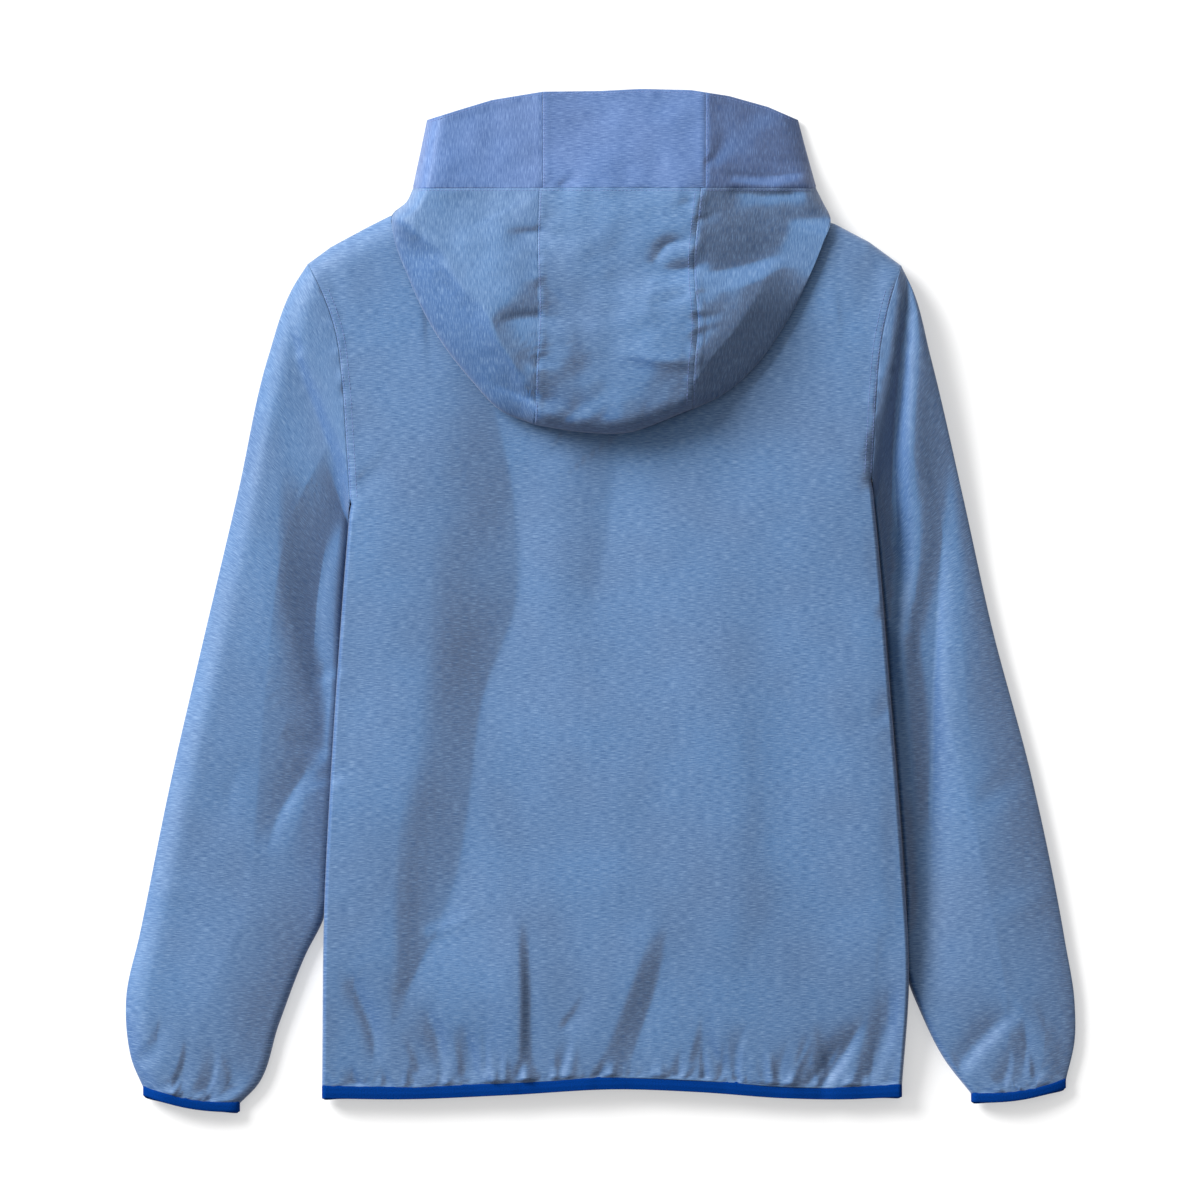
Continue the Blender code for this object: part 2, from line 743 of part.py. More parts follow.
def brim_side_rows(side_line, seam_x, neck_sign, front_neck):
    """An end piece of the band: from its seam, round the rolled side, to the centre front."""
    rows = []
    middle = neck_sign * GAP / 2
    neck_x = front_neck[:, 0][front_neck[:, 0] * neck_sign > abs(middle)]
    neck_x = neck_x[np.abs(neck_x) < NECK_HALF]
    neck_x = neck_x[np.argsort(-np.abs(neck_x))]
    for share in np.linspace(0, 1, BAND_ROWS):
        edge = path(side_line, [share])[0]
        across = np.abs(edge[0] - seam_x) - GAP / 2
        evenly = np.linspace(across, EDGE_STEPS[-1], BAND_COLUMNS)[:-1]
        over = np.append(evenly, EDGE_STEPS[::-1])
        x = edge[0] - neck_sign * over
        y = BAND_SEAM_Y + GAP / 2 + share * (brim_y(x) - BAND_SEAM_Y)
        y[-1] = edge[1] + GAP / 2 * (1 - share)
        above = np.stack([x, y], 1)
        outer_x = edge[0] - neck_sign * EDGE_STEPS[1:-1]
        under_x = np.concatenate([outer_x, [neck_sign * NECK_HALF], neck_x, [middle]])
        neck = np.interp(under_x, front_neck[:, 0], front_neck[:, 1]) + GAP
        low = np.where(np.abs(under_x) > NECK_HALF, BAND_SEAM_Y + BAND_STEP, neck)
        dip = step(np.abs(under_x - edge[0]) / BRIM_DIP_FADE)
        rim = brim_y(under_x) - BRIM_UNDER_DIP * dip
        below = np.stack([under_x, low + share * (rim - low)], 1)
        top = with_z(above, hood_top_z(above))
        rows.append(np.concatenate([top, with_z(below, band_under_z(below))]))
    return rows


def brim_centre_rows():
    x = np.linspace(BRIM_SEAM_LEFT + GAP / 2, BRIM_SEAM_RIGHT - GAP / 2, STRIP_COLUMNS)
    rows = []
    for share in np.linspace(0, 1, BAND_ROWS):
        y = BAND_SEAM_Y + GAP / 2 + share * (brim_y(x) - BAND_SEAM_Y)
        plan = np.stack([x, y], 1)
        rows.append(with_z(plan, hood_top_z(plan)))
    return rows


def make_hood(front_neck, collection):
    left = side_panel_rows(FOLD_LEFT, SEAM_LEFT, -1)
    right = side_panel_rows(FOLD_RIGHT, SEAM_RIGHT, 1)
    loft("hood_side_left", left, collection, SHELL_CLOTH)
    loft("hood_side_right", right, collection, SHELL_CLOTH, flip=True)
    loft("hood_centre", centre_strip_rows(), collection, SHELL_CLOTH, flip=True)
    brim_left = brim_side_rows(BAND_SIDE_LEFT, BRIM_SEAM_LEFT, -1, front_neck)
    brim_right = brim_side_rows(BAND_SIDE_RIGHT, BRIM_SEAM_RIGHT, 1, front_neck)
    loft("brim_left", brim_left, collection, SHELL_CLOTH, flip=True)
    loft("brim_right", brim_right, collection, SHELL_CLOTH)
    loft("brim_centre", brim_centre_rows(), collection, SHELL_CLOTH)


def main():
    for old in list(bpy.data.objects):
        bpy.data.objects.remove(old, do_unlink=True)
    collection = bpy.data.collections.new("anorak pullover")
    bpy.context.scene.collection.children.link(collection)
    front_neck = make_body(collection)
    make_hem_binding(collection)
    make_sleeve("left", (ARMHOLE_LEFT, INNER_LEFT, OUTER_LEFT, -1), False, collection)
    make_sleeve("right", (ARMHOLE_RIGHT, INNER_RIGHT, OUTER_RIGHT, 1), True, collection)
    make_hood(front_neck, collection)


main()
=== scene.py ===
# %% [markdown]
# # A child's anorak pullover, laid flat with its back up
#
# The pullover lies face down on a table, so what shows is the back, the two sleeves and the
# hood, which has dropped on to the back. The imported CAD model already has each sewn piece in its
# place as a plain wall. This notebook makes the same pieces again as thin cloth, with the small
# creases, gathers, seams and stitches that a solid leaves out, and gives them their materials.
#
# Lengths are in millimetres until a mesh is made: X runs across the garment, Y from hem to hood
# and Z up from the table.

import bpy
import mathutils
import numpy as np
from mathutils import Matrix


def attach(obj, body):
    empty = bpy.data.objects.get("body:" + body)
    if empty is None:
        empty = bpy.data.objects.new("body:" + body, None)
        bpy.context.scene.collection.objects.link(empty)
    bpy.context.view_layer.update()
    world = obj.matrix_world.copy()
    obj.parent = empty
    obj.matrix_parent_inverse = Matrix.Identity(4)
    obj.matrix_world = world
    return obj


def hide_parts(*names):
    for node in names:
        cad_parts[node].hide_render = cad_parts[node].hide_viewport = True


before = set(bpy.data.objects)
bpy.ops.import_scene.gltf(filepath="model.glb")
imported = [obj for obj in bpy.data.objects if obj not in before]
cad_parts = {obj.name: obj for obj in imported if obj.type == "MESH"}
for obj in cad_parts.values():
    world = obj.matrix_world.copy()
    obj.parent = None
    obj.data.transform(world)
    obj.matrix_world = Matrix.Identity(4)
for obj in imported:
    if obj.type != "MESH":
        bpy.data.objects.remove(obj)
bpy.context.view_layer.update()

print("nodes:", ", ".join(sorted(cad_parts)))

# %% [markdown]
# ## The cut
#
# Each edge of each piece is a short table of points on a smooth curve. The tables are the ones
# that the CAD source uses, so a piece made here lies exactly where its solid does. The heights
# are those of the top of the cloth: a garment laid flat is a shallow cushion of air between two
# layers, 20 to 25 mm thick in the middle, and its edges roll over like the edge of a pillow.

# %% Tables of the edges
MM = 0.001
GAP = 0.03  # between two sewn pieces
ARM_GAP = 0.1  # between a sleeve and the body at the shoulder point
LIFT = 0.45  # half the gap where back and front meet at a side seam
ROLL_TOP = 13.0  # width over which a sleeve's free edge climbs to full height
ROLL_BACK = 16.0  # the same along the shoulders
ROLL_DETAIL = 12.0  # and over which pleats and seam valleys grow there
ROLL_SIDE = 1.3  # along the back's sides, where the cloth lies in a sharper fold
ROLL_CROWN = 9.0  # at the hood's crown and the left of its band
ROLL_HOOD = 27.0  # on the left of the hood
ROLL_RIGHT = 24.0  # and on its right
STRAIGHT = 0.45  # how straight these two slopes are
ROLL_UNDER = 20.0  # width over which the underside leaves the floor
EDGE_SHARE = 0.45  # height of a rolled edge's widest point, as a share of the full height
NECK_HALF = 93.0  # half the width of the neck opening
NECK_Y = 249.2  # height of the neck points up the garment
BACK_DIP = 10.0  # how far the back neckline dips
FRONT_DIP = 57.0  # how far the front neckline dips
HOOD_EDGE = 4.0  # rolled edge of the hood above what it lies on
HOOD_CLEAR = 1.3  # from the back's outer face up to the hood's underside
CLIMB = (-16.0, 10.0)  # where the hood's underside climbs over a shoulder
BESIDE_NECK = 12.0  # width over which the band's underside drops from the shoulder
HEM_FADE = 120.0  # the hem's own curve is felt this far up the body


def table(columns, *rows):
    """A short table, as one array for each named column."""
    return dict(zip(columns.split(), np.array(rows, float).T))


SIDE_LEFT = table(
    "x y", (-172.4, -302), (-171, -190), (-165.5, -85), (-158.7, 12.4), (-155, 58.9)
)
SIDE_RIGHT = table(
    "x y",
    (187.3, -301), (191.6, -237), (187.9, -161), (182.9, -93), (178.6, -40), (174.8, 8),
    (170.5, 55.8), (168.6, 74.4),
)
ARMHOLE_LEFT = table(
    "x y",
    (-155, 58.9), (-157.5, 99), (-160, 136), (-164.3, 167.4), (-172, 190), (-181, 208.5),
)
ARMHOLE_RIGHT = table(
    "x y",
    (168.6, 74.4), (170.3, 105), (171.7, 130), (174.2, 158), (179.2, 183), (186.5, 207.5),
)
SHOULDERS = table(
    "x y",
    (-181, 208.5), (-166.8, 218.9), (-143.8, 231.3), (-130.2, 238.1), (-NECK_HALF, NECK_Y),
    (NECK_HALF, NECK_Y), (145.7, 233.1), (166.8, 222), (186.5, 207.5),
)
HEM = table(
    "x y",
    (-172.4, -302), (-123, -302.6), (-57, -300), (12, -296.4), (62, -298.2), (116, -302),
    (153, -302.6), (187.3, -301),
)
BODY_HEIGHT = table(
    "y height",
    (-303, 13), (-285, 15), (-240, 20), (-150, 24), (0, 25), (120, 24), (200, 21), (250, 19),
)

# Sleeves, shoulder to cuff. lift is the height of the inner edge, low where it goes under the body
OUTER_LEFT = table(
    "x y",
    (-181, 208.5), (-190.3, 194), (-205.8, 150.7), (-224.4, 67), (-247.4, -31), (-265.4, -109.1),
    (-285.2, -206.5), (-293.9, -248), (-293.3, -269), (-290.2, -285.8), (-283.3, -302),
)
INNER_LEFT = table(
    "x y lift",
    (-155.05, 58.9, 10.8), (-156.2, 38, 6.5), (-157.9, 15, 3.5), (-159.4, -12, 2.3),
    (-160, -40, 2.3), (-162.2, -81, 2.3), (-167.3, -160, 2.3), (-171, -196.5, 3),
    (-182.3, -219.5, 5), (-199, -262.9, 5), (-212.7, -301.3, 5), (-223.2, -312, 5),
)
OUTER_RIGHT = table(
    "x y",
    (186.5, 207.5), (194, 192), (204.9, 151.3), (225.4, 62.6), (243, -16.7), (267.5, -109.1),
    (288.3, -211.4), (294.3, -250), (294.3, -273), (288.9, -297.4),
)
INNER_RIGHT = table(
    "x y lift",
    (168.65, 74.4, 10.8), (170.5, 50, 6.5), (173.2, 15, 3.5), (175.7, -15, 2.3),
    (179.4, -65, 2.3), (182.3, -100, 2.3), (188.2, -180, 2.3), (191.2, -237, 3),
    (198.4, -254.8, 5), (213, -284, 5), (230, -306, 5),
)
SLEEVE_HEIGHT = table(
    "along height", (0, 23), (0.25, 18), (0.6, 16), (0.9, 14), (1, 12.5)
)
CUFF_BOW = 3.6  # how far the middle of a cuff hangs below its corners
CUFF_FROM = 0.85  # share of the sleeve's length where the cuff's bow starts
INNER_LAG = 1.6  # the inner edge is shorter, so its share of each row lags by this power
ARM_BOW_FADE = 0.3  # share of the length over which the rows stop following the armhole
ARM_HEIGHT_FADE = 0.25  # and the sleeve leaves the body's height for its own
ARM_GAP_FADE = 0.05
TUCK_FADE = 0.04  # and its inner edge drops under the body's side

# Hood: the rolled edge from the band's seam round to the crown, and the two long seams
FOLD_LEFT = table(
    "x y",
    (-115.9, 255.2), (-119.5, 247.5), (-129, 238.5), (-128, 225.7), (-119, 200.3), (-103.5, 168),
    (-80, 136.4), (-60.8, 117), (-40.5, 108.6),
)
FOLD_CROWN = table("x y", (-40.5, 108.6), (-13.0, 104.2), (15.5, 103.5), (57.0, 118.0))
FOLD_RIGHT = table(
    "x y",
    (133.9, 255.2), (138, 247), (143, 236), (138.3, 221.3), (130.8, 202.7), (114.1, 169.9),
    (91.1, 139.5), (75, 126.6), (57, 118),
)
SEAM_LEFT = table(
    "y x", (100, -40.5), (146, -39.3), (176, -37.8), (225, -38.6), (256, -37.5)
)
SEAM_RIGHT = table(
    "y x", (100, 56.6), (146, 58.5), (168, 60.6), (206, 58.3), (256, 62.6)
)
BAND_SEAM_Y = 255.6
BAND_SIDE_LEFT = table("x y", (-115.9, 255.6), (-111.5, 277.0), (-107.3, 297.6))
BAND_SIDE_RIGHT = table("x y", (133.9, 255.6), (129.5, 272.0), (122.8, 297.6))
BRIM = table(
    "x y",
    (-107.3, 297.6), (-85.6, 304.4), (-67, 310), (-35.3, 315.2), (0, 315.6), (25, 316.9),
    (56.4, 316.2), (80, 312.5), (104.2, 305.7), (122.8, 297.6),
)
BRIM_SEAM_LEFT = -35.5
BRIM_SEAM_RIGHT = 65.5
BRIM_UNDER_DIP = 13.0  # the hidden lower rim lies this far inside the upper one
BRIM_DIP_FADE = 60.0
BAND_STEP = 1.5  # the band's lower half starts this far above its seam beside the neck
CROWN_INSIDE = 10.0  # where the side seams of the hood end, in from the rolled edge
HOOD_HEIGHT = table(
    "y height",
    (100, 47), (125, 50.5), (165, 54), (205, 52), (256, 43), (290, 33), (317, 25),
)
LEAN = table(  # slope of the hood and of its band right of the right seam
    "y slope", (180, 0.30), (212, 0.40), (235, 0.37), (256, 0.36), (272, 0.42)
)

# %% [markdown]
# ## Curves
#
# A table becomes a smooth curve by a cubic through its points. `path` walks along the curve by
# its length, which is what a row of cloth needs, and `read` looks a value up by its first
# column. All of them take whole arrays, so a surface is worked out in one go.

# %% Curves and distances


def cubic(keys, values, at):
    """Smooth cubic: between two points it blends their values and slopes by powers of t."""
    slopes = np.gradient(values, keys, axis=0)
    i = np.clip(np.searchsorted(keys, at, side="right") - 1, 0, len(keys) - 2)
    span = (keys[i + 1] - keys[i])[:, None]
    t = np.clip((at - keys[i])[:, None] / span, 0, 1)
    start = (1 + 2 * t) * (1 - t) ** 2 * values[i] + t * (1 - t) ** 2 * span * slopes[i]
    end = t * t * (3 - 2 * t) * values[i + 1] + t * t * (t - 1) * span * slopes[i + 1]
    return start + end


def read(rows, name, at):
    """Column `name` at a value of the table's first column."""
    keys = next(iter(rows.values()))
    flat = np.ravel(np.asarray(at, float))
    return cubic(keys, rows[name][:, None], flat)[:, 0].reshape(np.shape(at))


def path(rows, at):
    """The table's columns at these fractions of the way along its curve in x and y."""
    values = np.stack(list(rows.values()), axis=1)
    run = np.append(0, np.cumsum(np.hypot(*np.diff(values[:, :2], axis=0).T)))
    flat = cubic(run, values, np.ravel(np.asarray(at, float)) * run[-1])
    return flat.reshape(*np.shape(at), values.shape[1])


def length(rows):
    return np.hypot(np.diff(rows["x"]), np.diff(rows["y"])).sum()


def polyline(rows, count=49):
    return path(rows, np.linspace(0, 1, count))[:, :2]


def away(points, line):
    """Distance in plan from each point to a line of points: the least over its segments."""
    nearest = np.full(points.shape[:-1], np.inf)
    for a, b in zip(line[:-1], line[1:]):
        run = b - a
        t = np.clip((points[..., :2] - a) @ run / max(run @ run, 1e-9), 0, 1)
        off = points[..., :2] - a - t[..., None] * run
        nearest = np.minimum(nearest, (off**2).sum(-1))
    return np.sqrt(nearest)


def step(t):
    """Smooth 0 to 1: 3 t squared less 2 t cubed."""
    t = np.clip(t, 0, 1)
    return t * t * (3 - 2 * t)


def roll(distance, width, straight=0.0):
    """Quarter ellipse, from 0 at a rolled edge to 1 at this width, or a share of it straight."""
    t = np.clip((distance - 0.02) / width, 0, 1)
    return straight * t + (1 - straight) * np.sqrt(1 - (1 - t) ** 2)


def between(a, b, t):
    return a[..., None, :] + t[..., None] * (b - a)[..., None, :]


def with_z(plan, height):
    return np.concatenate([plan, height[..., None]], axis=-1)


print(f"the left sleeve's outer edge is {length(OUTER_LEFT):.0f} mm long")

# %% [markdown]
# ## Creases and soft waves
#
# Thin coated cloth doesn't hang in round folds: it dents, and each dent is steeper on one side.
# A crease here is a bell across a bowed line, wider on one side than on the other, deepest at its
# first end. A short table of them, placed one by one, does what a simulation wouldn't: it puts
# each crease where it belongs. Under them go slow uneven waves, which keep the broad areas from
# looking pressed.

# %% Creases and waves


def creases(p, rows):
    """Sum over the table of deep * (1 - t) * exp(-(off / wide)^2 - (past / wide)^2), where off is
    the distance from a bowed line, t the share of the way along it, past the distance beyond its
    ends, and wide is larger on the side that skew favours."""
    total = np.zeros(p.shape[:-1])
    for x0, y0, x1, y1, bow, wide, deep, skew in zip(*rows.values()):
        run = np.array([x1 - x0, y1 - y0])
        long = np.hypot(*run)
        along = ((p[..., 0] - x0) * run[0] + (p[..., 1] - y0) * run[1]) / long**2
        t = np.clip(along, 0, 1)
        off = ((p[..., 0] - x0) * run[1] - (p[..., 1] - y0) * run[0]) / long
        off = off - bow * 4 * t * (1 - t)
        width = wide * (1 + skew * np.tanh(off / wide))
        past = (along - t) * long / wide
        total += deep * (1 - t) * np.exp(-((off / width) ** 2) - past**2)
    return total


def folds(p, rows, crest=2.0):
    """Sum over the folds of a table, each a smooth curve through its rows. Its height across is
    deep * exp(-(off / wide)^sharp), with a width of its own on the left and on the right of
    someone who walks along it. sharp is `crest` for a crest and 1.3 for a crisp bottom."""
    total = np.zeros(p.shape[:-1])
    for number in np.unique(rows["fold"]):
        own = rows["fold"] == number
        line = path({name: rows[name][own] for name in FOLD.split()[1:]}, np.linspace(0, 1, 25))
        nearest, height = np.full(total.shape, np.inf), np.zeros(total.shape)
        for a, b in zip(line[:-1], line[1:]):
            run = b[:2] - a[:2]
            t = np.clip((p[..., :2] - a[:2]) @ run / (run @ run), 0, 1)[..., None]
            off = p[..., :2] - a[:2] - t * run
            deep, left, right = np.moveaxis(a[2:] + t * (b - a)[2:], -1, 0)
            side = (run[0] * off[..., 1] - run[1] * off[..., 0]) / np.hypot(*run)
            wide = right + (left - right) * (0.5 + 0.5 * np.tanh(side / 2))
            size = np.hypot(off[..., 0], off[..., 1]) / wide
            height = np.where(size < nearest, deep, height)
            nearest = np.minimum(size, nearest)
        total += height * np.exp(-(nearest ** np.where(height < 0, 1.3, crest)))
    return total


def waves(p, size, high, seed, count=9):
    """Sum of sines in random directions, of lengths about `size`, from a seeded draw."""
    draw = np.random.default_rng(seed)
    angle = draw.uniform(0, np.pi, count)
    number = 2 * np.pi / (size * draw.uniform(0.7, 1.6, count))
    turn = np.stack([np.cos(angle), np.sin(angle)]) * number
    phase = draw.uniform(0, 2 * np.pi, count)
    return high * np.sqrt(2 / count) * np.sin(p[..., :2] @ turn + phase).sum(-1)


FOLD = "fold x y deep left right"
BODY_FOLDS = table(
    FOLD,
    # The long valley of the back: the crest on its left and the line of its bottom
    (1, -108, 130, 1.8, 28, 55), (1, -107, 62, 3.4, 30, 60), (1, -109, -12, 3.4, 28, 55),
    (1, -121, -99, 3, 20, 45), (1, -129, -174, 2.6, 15, 34), (1, -128, -236, 0.6, 8, 20),
    (2, -66, 125, -2.5, 40, 22), (2, -52, 62, -6, 60, 26), (2, -50, 0, -5.6, 60, 24),
    (2, -72, -62, -4.4, 52, 21), (2, -80, -124, -3.6, 44, 21), (2, -90, -180, -2.8, 30, 18),
    (2, -119, -242, -1.6, 12, 8),
    # A second soft roll right of it
    (3, -24, 100, 1.6, 24, 22), (3, -24, 20, 1.6, 24, 24), (3, -30, -50, 0, 20, 24),
    (4, 12, 104, -2.6, 30, 20), (4, 4, 37, -2.2, 30, 20), (4, -8, -30, 0, 30, 22),
    (5, 66, 40, 0, 18, 40), (5, 74, -20, 1.4, 18, 40), (5, 82, -110, 2, 20, 40),
    (5, 78, -200, 1.4, 22, 36), (5, 74, -250, 0, 18, 30),
    (6, 150, 150, 1.2, 20, 46), (6, 158, 40, 1.4, 14, 40), (6, 168, -80, 1.2, 12, 34),
    (6, 172, -200, 0.8, 10, 30),
    # Folds that rise from the hem
    (7, -54, -196, 0.3, 6, 20), (7, -50, -240, 2.6, 4, 20), (7, -51, -284, 1.8, 4, 16),
    (8, -45, -204, -0.3, 8, 4), (8, -44.5, -245, -1.2, 8, 3.4), (8, -42, -286, -1, 8, 3.4),
    (9, 31, -198, 0.2, 10, 24), (9, 19, -236, 2.4, 9, 28), (9, 0, -285, 1.4, 9, 24),
    (10, 43, -198, -0.2, 18, 7), (10, 35, -239, -1.5, 20, 6), (10, 20, -285, -0.9, 18, 6),
    (11, -158, -228, -0.4, 7, 4), (11, -150, -246, -1.8, 6, 3.4), (11, -141, -268, -1.8, 6, 3.4),
    (11, -138, -290, 0, 6, 4),
    (15, -106, -258, -1.2, 6, 8), (15, -100, -276, -2.4, 6, 9), (15, -98, -294, -1, 5, 8),
    (16, -86, -262, 0, 5, 6), (16, -80, -282, -1.4, 5, 7), (16, -78, -296, -1, 5, 6),
    (12, 162, -263, -0.4, 3.4, 7), (12, 152, -280, -3.4, 4.4, 7), (12, 138, -300, -2.8, 4.4, 6),
    (13, 182, -238, -0.6, 4, 10), (13, 178, -264, -3.6, 6, 10), (13, 168, -294, -3.2, 6, 8),
    (14, 150, -272, -0.2, 3, 6), (14, 138, -290, -1.8, 3, 6), (14, 128, -300, -1, 3, 5),
    (17, 116, -276, -0.2, 4, 6), (17, 110, -296, -1.4, 4, 6),
    (18, 64, -268, -0.2, 4, 7), (18, 72, -284, -1.3, 4, 7), (18, 78, -298, -0.6, 4, 6),
)
SLEEVE_FOLDS = table(
    FOLD,
    # Left: the hollow below the armhole, the folds that point to the body, and the soft one above
    (21, -202, 95, 0.4, 10, 24), (21, -201, 60, 2, 12, 26), (21, -200, 8, 2.6, 12, 24),
    (21, -192, -25, 1.6, 8, 20), (21, -182, -62, 0, 6, 16),
    (22, -158, 66, -2.4, 5, 16), (22, -166, 38, -5, 6, 20), (22, -172.5, 17, -6, 8, 16),
    (22, -176, -10, -6.2, 9, 12), (22, -174, -41, -5.4, 7, 9), (22, -171, -80, -2.4, 5, 5),
    (23, -162, -95, -2.6, 5, 8), (23, -178, -91, -2.2, 5, 8), (23, -197, -82, 0, 5, 8),
    (25, -176, -97, -1.6, 5, 12), (25, -190, -118, -2.8, 5, 14), (25, -201, -138, -2, 6, 14),
    (25, -206, -158, 0, 6, 12),
    (26, -222, -96, 0, 8, 16), (26, -230, -124, -1, 8, 18), (26, -226, -150, 0, 8, 16),
    (28, -184, 196, -0.4, 3, 12), (28, -190.5, 160, -2, 3, 14), (28, -178, 120, -3.6, 4, 24),
    (28, -162, 78, -3, 4, 26),
    # Right: the sharp valley beside the cap, the low part beside the body and a long trough
    (31, 192, 203, -5, 6, 2.6), (31, 188.5, 163, -8, 6, 3), (31, 186.5, 143, -10, 6, 3.4),
    (31, 184.5, 120, -12, 5, 5), (31, 182, 90, -13, 5, 9), (31, 182.5, 60, -13, 4.5, 12),
    (31, 183.5, 25, -10, 4.5, 11), (31, 183, 2, -4, 4, 8), (31, 183, -16, 0, 4, 8),
    (32, 194, 150, 0.6, 8, 5), (32, 198, 90, 2, 9, 9), (32, 199, 40, 2.8, 10, 9),
    (32, 192, -10, 2.6, 6, 5), (32, 186, -48, 0.4, 5, 5),
    (33, 217, 96, -0.6, 9, 14), (33, 214, 60, -3.2, 8, 22), (33, 209, 0, -6, 7, 34),
    (33, 206, -50, -7.4, 7, 42), (33, 204.5, -110, -7.6, 7.5, 44), (33, 203, -160, -6.6, 9, 38),
    (33, 203, -205, -4, 10, 28), (33, 209, -244, 0, 10, 16),
    (48, 186, 12, 0, 5, 8), (48, 187.5, -25, 5.5, 6, 9), (48, 190.5, -62, 5.5, 7.5, 8),
    (48, 193, -124, 3.4, 8, 7), (48, 194, -175, 0, 8, 7),
    (34, 226, 40, 0.4, 14, 14), (34, 240, -60, 1.4, 18, 20), (34, 254, -160, 0.6, 18, 24),
    (34, 258, -210, 0, 16, 24),
    (35, 219, -294, -3.4, 11, 3.4), (35, 236, -274, -3.6, 12, 3.4), (35, 251, -260, -2, 12, 4),
    (35, 262, -253, 0, 12, 5),
    (36, 262, -256, 0, 4, 8), (36, 264, -280, -1.8, 4, 8), (36, 262, -294, -1.2, 4, 8),
)
HOOD_FOLDS = table(
    FOLD,
    # Left side: the edge between the flat upper part and the slope that runs down to the outline
    (1, -112, 244, 1.4, 40, 5), (1, -104, 216, 3.2, 40, 7), (1, -90, 200, 4.4, 40, 9),
    (1, -70, 180, 5.6, 40, 9), (1, -62, 160, 5.4, 32, 9), (1, -46, 138, 3.6, 24, 8),
    (2, -118.5, 252, -2.4, 3, 4), (2, -118.5, 224, 0, 3, 4),
    # Right side: a trough whose far side is in shade, with a lit wedge below it
    (3, 64, 203, -3.6, 26, 5), (3, 90, 208, -6.4, 32, 6), (3, 118, 216, -3, 30, 6),
    (4, 62, 188, 1.6, 6, 22), (4, 88, 194, 3.6, 6, 26), (4, 112, 204, 1.8, 5, 20),
    (6, 82, 263, -2, 5, 3), (6, 102, 261.6, -3, 5, 3), (6, 125, 265, -1.1, 5, 3),
    (7, 84, 253.5, -2.2, 3.5, 4), (7, 105, 251, -3, 3.5, 4), (7, 131, 254, -1.4, 3.5, 4),
    # Puckers of the right seam
    (8, 59, 206, -4.6, 6, 7), (8, 43, 205, -3.5, 6, 7), (8, 33, 209.5, -0.4, 5, 6),
    (9, 34, 210, -1.6, 4, 5), (9, 40, 219, -3, 4, 5), (9, 56, 223, -0.8, 4, 5),
    (10, 33, 196, 0.4, 6, 6), (10, 30, 180, 1, 5, 6), (10, 37, 169, 0.2, 5, 6),
    # Crown
    (11, 16, 152, 0.8, 9, 5), (11, 45, 148, 2.4, 9, 4), (11, 60, 147, 1.4, 9, 4),
    (12, -63, 133, -2.4, 8, 4), (12, -40, 124, -3.8, 8, 4), (12, -18, 120, -0.5, 8, 4),
    (13, -23, 112, -2.4, 6, 5), (13, -2, 124, -0.4, 6, 5),
    # Puckers of the left seam
    (14, -37, 228, -3.2, 7, 4), (14, -48, 227.5, -2.4, 7, 4), (14, -59, 229, 0, 7, 4),
    (15, -38.5, 176, -3.2, 8, 5), (15, -52, 175, -3, 8, 5), (15, -67, 171, 0, 8, 5),
    (16, -35, 195, -1.6, 5, 9), (16, -20, 182, -1.9, 5, 9), (16, -4, 168, 0, 5, 9),
    (17, -23, 257, -1.8, 3, 6), (17, -13, 266, 0, 3, 6),
)
CREASE = "x0 y0 x1 y1 bow wide deep skew"
# Smaller ones, which the solids leave out
BODY_CREASES = table(
    CREASE,
    (-103, -206, -70, -188, 2, 4, 0.8, 0), (-20, -262, -8, -240, 2, 4.2, -1, 0.6),
    (60, -284, 66, -250, 1, 4.4, -0.9, 0.6), (84, -290, 92, -262, -2, 4, -1.1, -0.6),
    (142, -292, 134, -262, 1, 4, -1.4, 0.6), (122, -292, 128, -270, 1, 3.4, -1, 0.6),
    (-84, -292, -90, -266, 1, 3.6, -1.1, 0.6), (-70, -290, -73, -262, 1, 3.6, -1.2, 0.6),
    (-112, -291, -122, -268, 1, 3.6, -1.2, 0.6), (-24, -290, -20, -270, 1, 3.4, -1.1, -0.6),
    (-153, 70, -126, 100, 3, 6, -1.2, 0.5), (-158, 130, -146, 128, 1, 3, -0.7, 0.5),
    (162, 86, 138, 112, -3, 6, -0.9, 0.5), (-166, 203, -146, 160, 4, 7, -1, 0.5),
    (172, 206, 152, 168, -4, 7, -1, 0.5), (-164, -60, -128, -88, 3, 6, -0.8, 0.4),
    (182, -64, 150, -84, -3, 6, -0.8, 0.4), (-188.5, 155, -197, 166, 1, 3, -1.3, 0.5),
    (-164, -44, -180, -56, 2, 3.6, -1.8, 0.5), (-166, -110, -188, -118, 2, 5, -1.4, 0.5),
    (-262, -110, -222, -146, 4, 8, -1, 0), (-276, -180, -226, -196, -4, 9, 0.8, 0),
    (-284, -284, -270, -258, 2, 4, -2, 0.6), (-262, -299, -256, -272, 2, 4, -1.8, 0.6),
    (-244, -303, -240, -276, 2, 4, -1.6, -0.6), (-229, -302, -234, -282, 2, 3.4, -1.6, 0.6),
    (188.5, 178, 197, 183, 1, 2.4, -1.4, 0.4), (186, 160, 194, 164, 1, 2.4, -1.4, 0.4),
    (182.5, 142, 190, 147, 1, 2.2, -1.3, 0.4), (180.5, 124, 188, 129, 1, 2.2, -1.2, 0.4),
    (179, -6, 196, -16, 2, 4, -2.4, 0.5), (258, -110, 222, -150, 4, 8, -0.8, 0),
    (280, -180, 236, -196, -4, 9, 0.8, 0), (286, -286, 270, -246, 2, 5, -1.8, 0.6),
    (270, -294, 262, -266, 2, 4, -1.6, 0.6), (250, -298, 252, -276, 2, 3.6, -1.5, -0.6),
)
